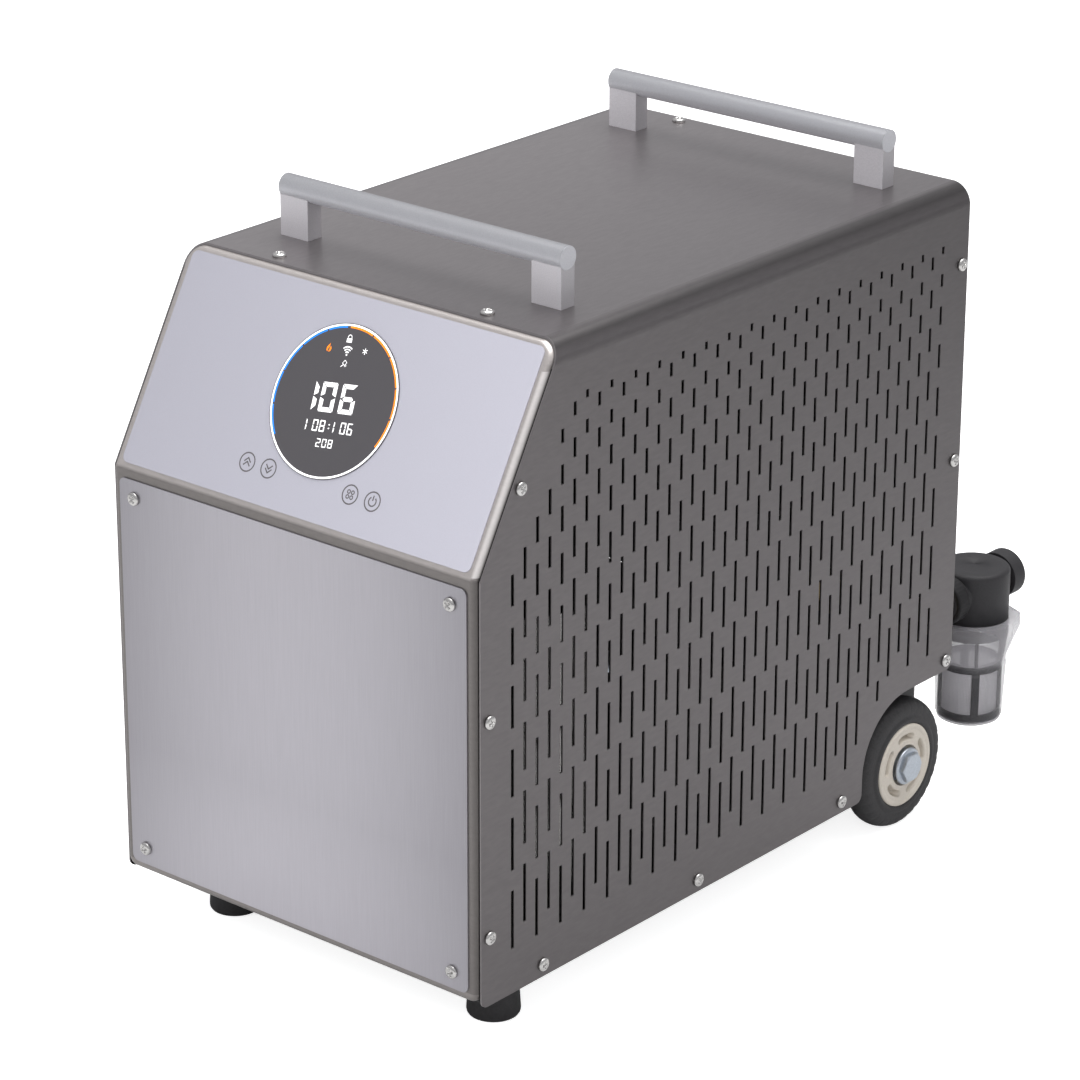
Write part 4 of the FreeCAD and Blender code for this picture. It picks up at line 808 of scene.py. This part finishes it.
bowl_low, bowl_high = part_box("filter_bowl")
bowl_axis = (bowl_low + bowl_high) / 2
lobe_flat = (bowl_high.x - bowl_low.x) / 2
rim, foot_z = bowl_high.z, bowl_low.z
cup = 0.0260
collar_end, lobe_steps = rim - 0.0104, 10
outer_rows = [(0.0275, rim - 0.0004), (lobe_flat - 0.0010, rim), (lobe_flat, rim - 0.0012), (lobe_flat, collar_end)]
for step in range(1, lobe_steps + 1):
    outer_rows.append((lobe_flat - 0.0092 * step / lobe_steps, collar_end - 0.0254 * step / lobe_steps))
outer_rows += [(cup + 0.0004, rim - 0.037), (cup, rim - 0.045), (cup - 0.0006, rim - 0.060),
               (cup - 0.0010, foot_z + 0.012), (cup - 0.0012, foot_z + 0.005),
               (cup - 0.0024, foot_z + 0.0014), (cup - 0.0050, foot_z), (pole, foot_z)]
inner_rows = [(pole, foot_z + 0.0024), (0.0190, foot_z + 0.0024), (0.0222, foot_z + 0.0042),
              (0.0230, foot_z + 0.008), (0.0236, rim - 0.036), (0.0268, rim - 0.0150),
              (0.0270, rim - 0.0140), (0.0270, rim - 0.0004)]


def grip(row, radius, height, angle):
    """Eight lobes: the collar's outline is an octagon with soft corners that sinks into the cup."""
    if row >= len(outer_rows) or row == 0 or height < rim - 0.0362:
        return radius, height
    off = angle % (math.pi / 4) - math.pi / 8
    return max(radius / math.cos(off), cup), height


bowl_mesh = turned_mesh("clear_bowl_skin", outer_rows + inner_rows, 128, grip)
bowl_mesh.transform(Matrix.Translation((bowl_axis.x, bowl_axis.y, 0)))
add_piece("clear_bowl_skin", bowl_mesh, "bowl", "clear_bowl", clear, replaces=["filter_bowl"])

# Strainer: moulded frame of two rings and four ribs that hang from the head's skirt. Its mesh is a
# fine woven cloth, see-through between the wires.

frame_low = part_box("strainer_frame")[0]


def curved_block(shape, inside, outside, low, high, start, end, steps):
    """One closed block bent round the filter's axis, angles in degrees."""
    whole = end - start >= 360
    rows = []
    for step in range(steps if whole else steps + 1):
        angle = math.radians(start + (end - start) * step / steps)
        x, y = math.cos(angle), math.sin(angle)
        rows.append([shape.verts.new((r * x + bowl_axis.x, r * y + bowl_axis.y, z))
                     for r, z in ((inside, low), (outside, low), (outside, high), (inside, high))])
    for one, other in zip(rows, rows[1:] + (rows[:1] if whole else [])):
        for corner in range(4):
            after = (corner + 1) % 4
            shape.faces.new((one[corner], one[after], other[after], other[corner]))
    if not whole:
        shape.faces.new(rows[0])
        shape.faces.new(list(reversed(rows[-1])))


basket_shape = bmesh.new()
basket, basket_in, floor_z, ring_low, ring_high = 0.0231, 0.0231 - 0.0018, frame_low.z, 0.0808, 0.0858
curved_block(basket_shape, basket_in, basket, floor_z, floor_z + 0.0062, 0, 360, 96)
curved_block(basket_shape, basket_in, basket, ring_low, ring_high, 0, 360, 96)
curved_block(basket_shape, 0.0010, basket - 0.0017, floor_z, floor_z + 0.0016, 0, 360, 48)
wide_rib, slim_rib = 7.2, 3.0
for turn in (45, 135, 225, 315):
    curved_block(basket_shape, basket_in, basket + 0.0004, floor_z + 0.0060, ring_low + 0.0002, turn - wide_rib,
                 turn + wide_rib, 6)
    curved_block(basket_shape, basket_in, basket, ring_high - 0.0002, head_low.z, turn - slim_rib,
                 turn + slim_rib, 4)
bmesh.ops.recalc_face_normals(basket_shape, faces=basket_shape.faces[:])
strainer = bpy.data.meshes.new("strainer_skin")
basket_shape.to_mesh(strainer)
basket_shape.free()
add_piece("strainer_skin", strainer, "cabinet", "black_plastic", black_plastic, replaces=["strainer_frame"])

mesh_cloth = Finish("filter_mesh", (0.74, 0.73, 0.75), 0.5, edge=0.0, scale=2500.0, depth=0.3, spread=0.1)
cloth_place = mesh_cloth.place()
round_it = mesh_cloth.calc("ARCTAN2", mesh_cloth.calc("SUBTRACT", cloth_place["Y"], bowl_axis.y),
                           mesh_cloth.calc("SUBTRACT", cloth_place["X"], bowl_axis.x))
upright = mesh_cloth.calc("COSINE", mesh_cloth.calc("MULTIPLY", round_it, 110.0))
level = mesh_cloth.calc("COSINE", mesh_cloth.calc("MULTIPLY", cloth_place["Z"], 5400.0))
wires = mesh_cloth.calc("MAXIMUM", upright, level)
cover = mesh_cloth.calc("MULTIPLY_ADD", wires, 0.22, 0.50)
# Painted light: the cloth glows faintly, so that its shaded inside stays pale.
mesh_cloth.surface.inputs["Emission Color"].default_value = (0.60, 0.58, 0.62, 1.0)
mesh_cloth.surface.inputs["Emission Strength"].default_value = 0.20
mesh_cloth.link(cover, mesh_cloth.surface.inputs["Alpha"])
mesh_cloth.put_on("strainer_mesh")

# Rear fittings: bright brass pipe and outlet. The socket's pins, the fan's motor and the heat
# exchanger share the screws' zinc.

brass = Finish("brass_fitting", (0.50, 0.44, 0.30), 0.3, metal=1.0, edge=0.0005, scale=800.0, depth=0.08,
               spread=0.1)
brass.put_on("water_outlet", "inlet_pipe")
zinc.put_on("socket_pins", "fan_motor", "heat_exchanger")

# Inner parts: compressor, control board and electrical box, seen only as dark shapes through the
# slots, and the condenser's upright fins.

inner_black = Finish("inner_black", (0.015, 0.015, 0.016), 0.5, edge=0.001, scale=300.0, depth=0.2, spread=0.2)
inner_black.put_on("compressor", "control_board", "electrical_box")
fins = Finish("condenser_fins", (0.30, 0.30, 0.30), 0.45, metal=0.9, edge=0.0002, scale=700.0, depth=0.2, spread=0.1,
              stretch=(0.05, 1.0, 1.0))
fins.put_on("condenser")

# Floor: plain white ground that keeps a faint contact shadow. It glows for the camera alone, bright
# enough to meet the white page.

ground = bpy.data.meshes.new("floor")
far = 14.0
ground.from_pydata([(-far, -far, 0), (far, -far, 0), (far, far, 0), (-far, far, 0)], [], [(0, 1, 2, 3)])
floor = bpy.data.objects.new("floor", ground)
bpy.context.scene.collection.objects.link(floor)
white_floor = bpy.data.materials.new("white_floor")
white_floor.use_nodes = True
floor_tree = white_floor.node_tree
base = floor_tree.nodes["Principled BSDF"]
base.inputs["Base Color"].default_value = (0.75, 0.75, 0.75, 1.0)
base.inputs["Roughness"].default_value = 0.9
base.inputs["Specular IOR Level"].default_value = 0.0
floor_sight = floor_tree.nodes.new("ShaderNodeLightPath")
glow = floor_tree.nodes.new("ShaderNodeMath")
glow.operation = "MULTIPLY"
glow.inputs[1].default_value = 0.80
floor_tree.links.new(floor_sight.outputs["Is Camera Ray"], glow.inputs[0])
floor_tree.links.new(glow.outputs[0], base.inputs["Emission Strength"])
base.inputs["Emission Color"].default_value = (1.0, 1.0, 1.0, 1.0)
ground.materials.append(white_floor)

# Light: a bright even surround that the camera sees as plain white, a broad soft lamp above and
# weaker ones at the right and in front.

world = bpy.data.worlds.new("surround")
bpy.context.scene.world = world
world.use_nodes = True
sky_tree = world.node_tree
sky = sky_tree.nodes["Background"]
way = sky_tree.nodes.new("ShaderNodeTexCoord")
split = sky_tree.nodes.new("ShaderNodeSeparateXYZ")
climb = sky_tree.nodes.new("ShaderNodeValToRGB")
climb.color_ramp.elements[0].position = 0.45
climb.color_ramp.elements[0].color = (0.42, 0.42, 0.44, 1.0)
climb.color_ramp.elements[1].position = 0.85
climb.color_ramp.elements[1].color = (0.75, 0.75, 0.77, 1.0)
lift = sky_tree.nodes.new("ShaderNodeMapRange")
lift.inputs["From Min"].default_value = -1.0
lift.inputs["From Max"].default_value = 1.0
sky_tree.links.new(way.outputs["Generated"], split.inputs[0])
sky_tree.links.new(split.outputs["Z"], lift.inputs["Value"])
sky_tree.links.new(lift.outputs["Result"], climb.inputs["Fac"])
sky_sight = sky_tree.nodes.new("ShaderNodeLightPath")
backdrop = sky_tree.nodes.new("ShaderNodeMix")
backdrop.data_type = "RGBA"
backdrop.inputs[7].default_value = (1.12, 1.12, 1.12, 1.0)
sky_tree.links.new(sky_sight.outputs["Is Camera Ray"], backdrop.inputs["Factor"])
sky_tree.links.new(climb.outputs["Color"], backdrop.inputs[6])
sky_tree.links.new(backdrop.outputs[2], sky.inputs["Color"])
sky.inputs["Strength"].default_value = 0.9


def area_lamp(name, spot, aim, size, power, mirrored=True):
    """A rectangular lamp that smooth metal may mirror or not."""
    lamp = bpy.data.lights.new(name, "AREA")
    lamp.shape = "RECTANGLE"
    lamp.size, lamp.size_y = size
    lamp.energy = power
    item = bpy.data.objects.new(name, lamp)
    item.location = spot
    item.rotation_euler = (Vector(aim) - Vector(spot)).to_track_quat("-Z", "Y").to_euler()
    item.visible_glossy = mirrored
    bpy.context.scene.collection.objects.link(item)


area_lamp("top_lamp", (0.2, 0.4, 2.6), (0.0, 0.0, 0.3), (2.2, 2.2), 60.0)
area_lamp("side_lamp", (2.1, -1.9, 1.5), (0.1, -0.1, 0.3), (1.1, 1.1), 22.0, False)
area_lamp("front_lamp", (-1.6, -2.6, 1.4), (0.0, -0.1, 0.3), (1.4, 2.0), 26.0, False)

# Camera: fitted to the photograph, a long lens held level with no shift. Its axes are the picture's
# right and down and the way it looks.

eye = Vector((1.7344, -2.0640, 1.3191))
right = Vector((0.76303, 0.64636, 0.00265))
down = Vector((0.24122, -0.28096, -0.92891))
forward = Vector((-0.59966, 0.70943, -0.37029))
pose = Matrix((right, -down, -forward)).transposed().to_4x4()
pose.translation = eye
camera_data = bpy.data.cameras.new("camera")
photo_pixels, focal_pixels = 1080.0, 4206.4
camera_data.sensor_width = 36.0
camera_data.lens = camera_data.sensor_width * focal_pixels / photo_pixels
camera = bpy.data.objects.new("camera", camera_data)
camera.matrix_world = pose
bpy.context.scene.collection.objects.link(camera)
bpy.context.scene.camera = camera
bpy.context.scene.view_settings.view_transform = "Standard"
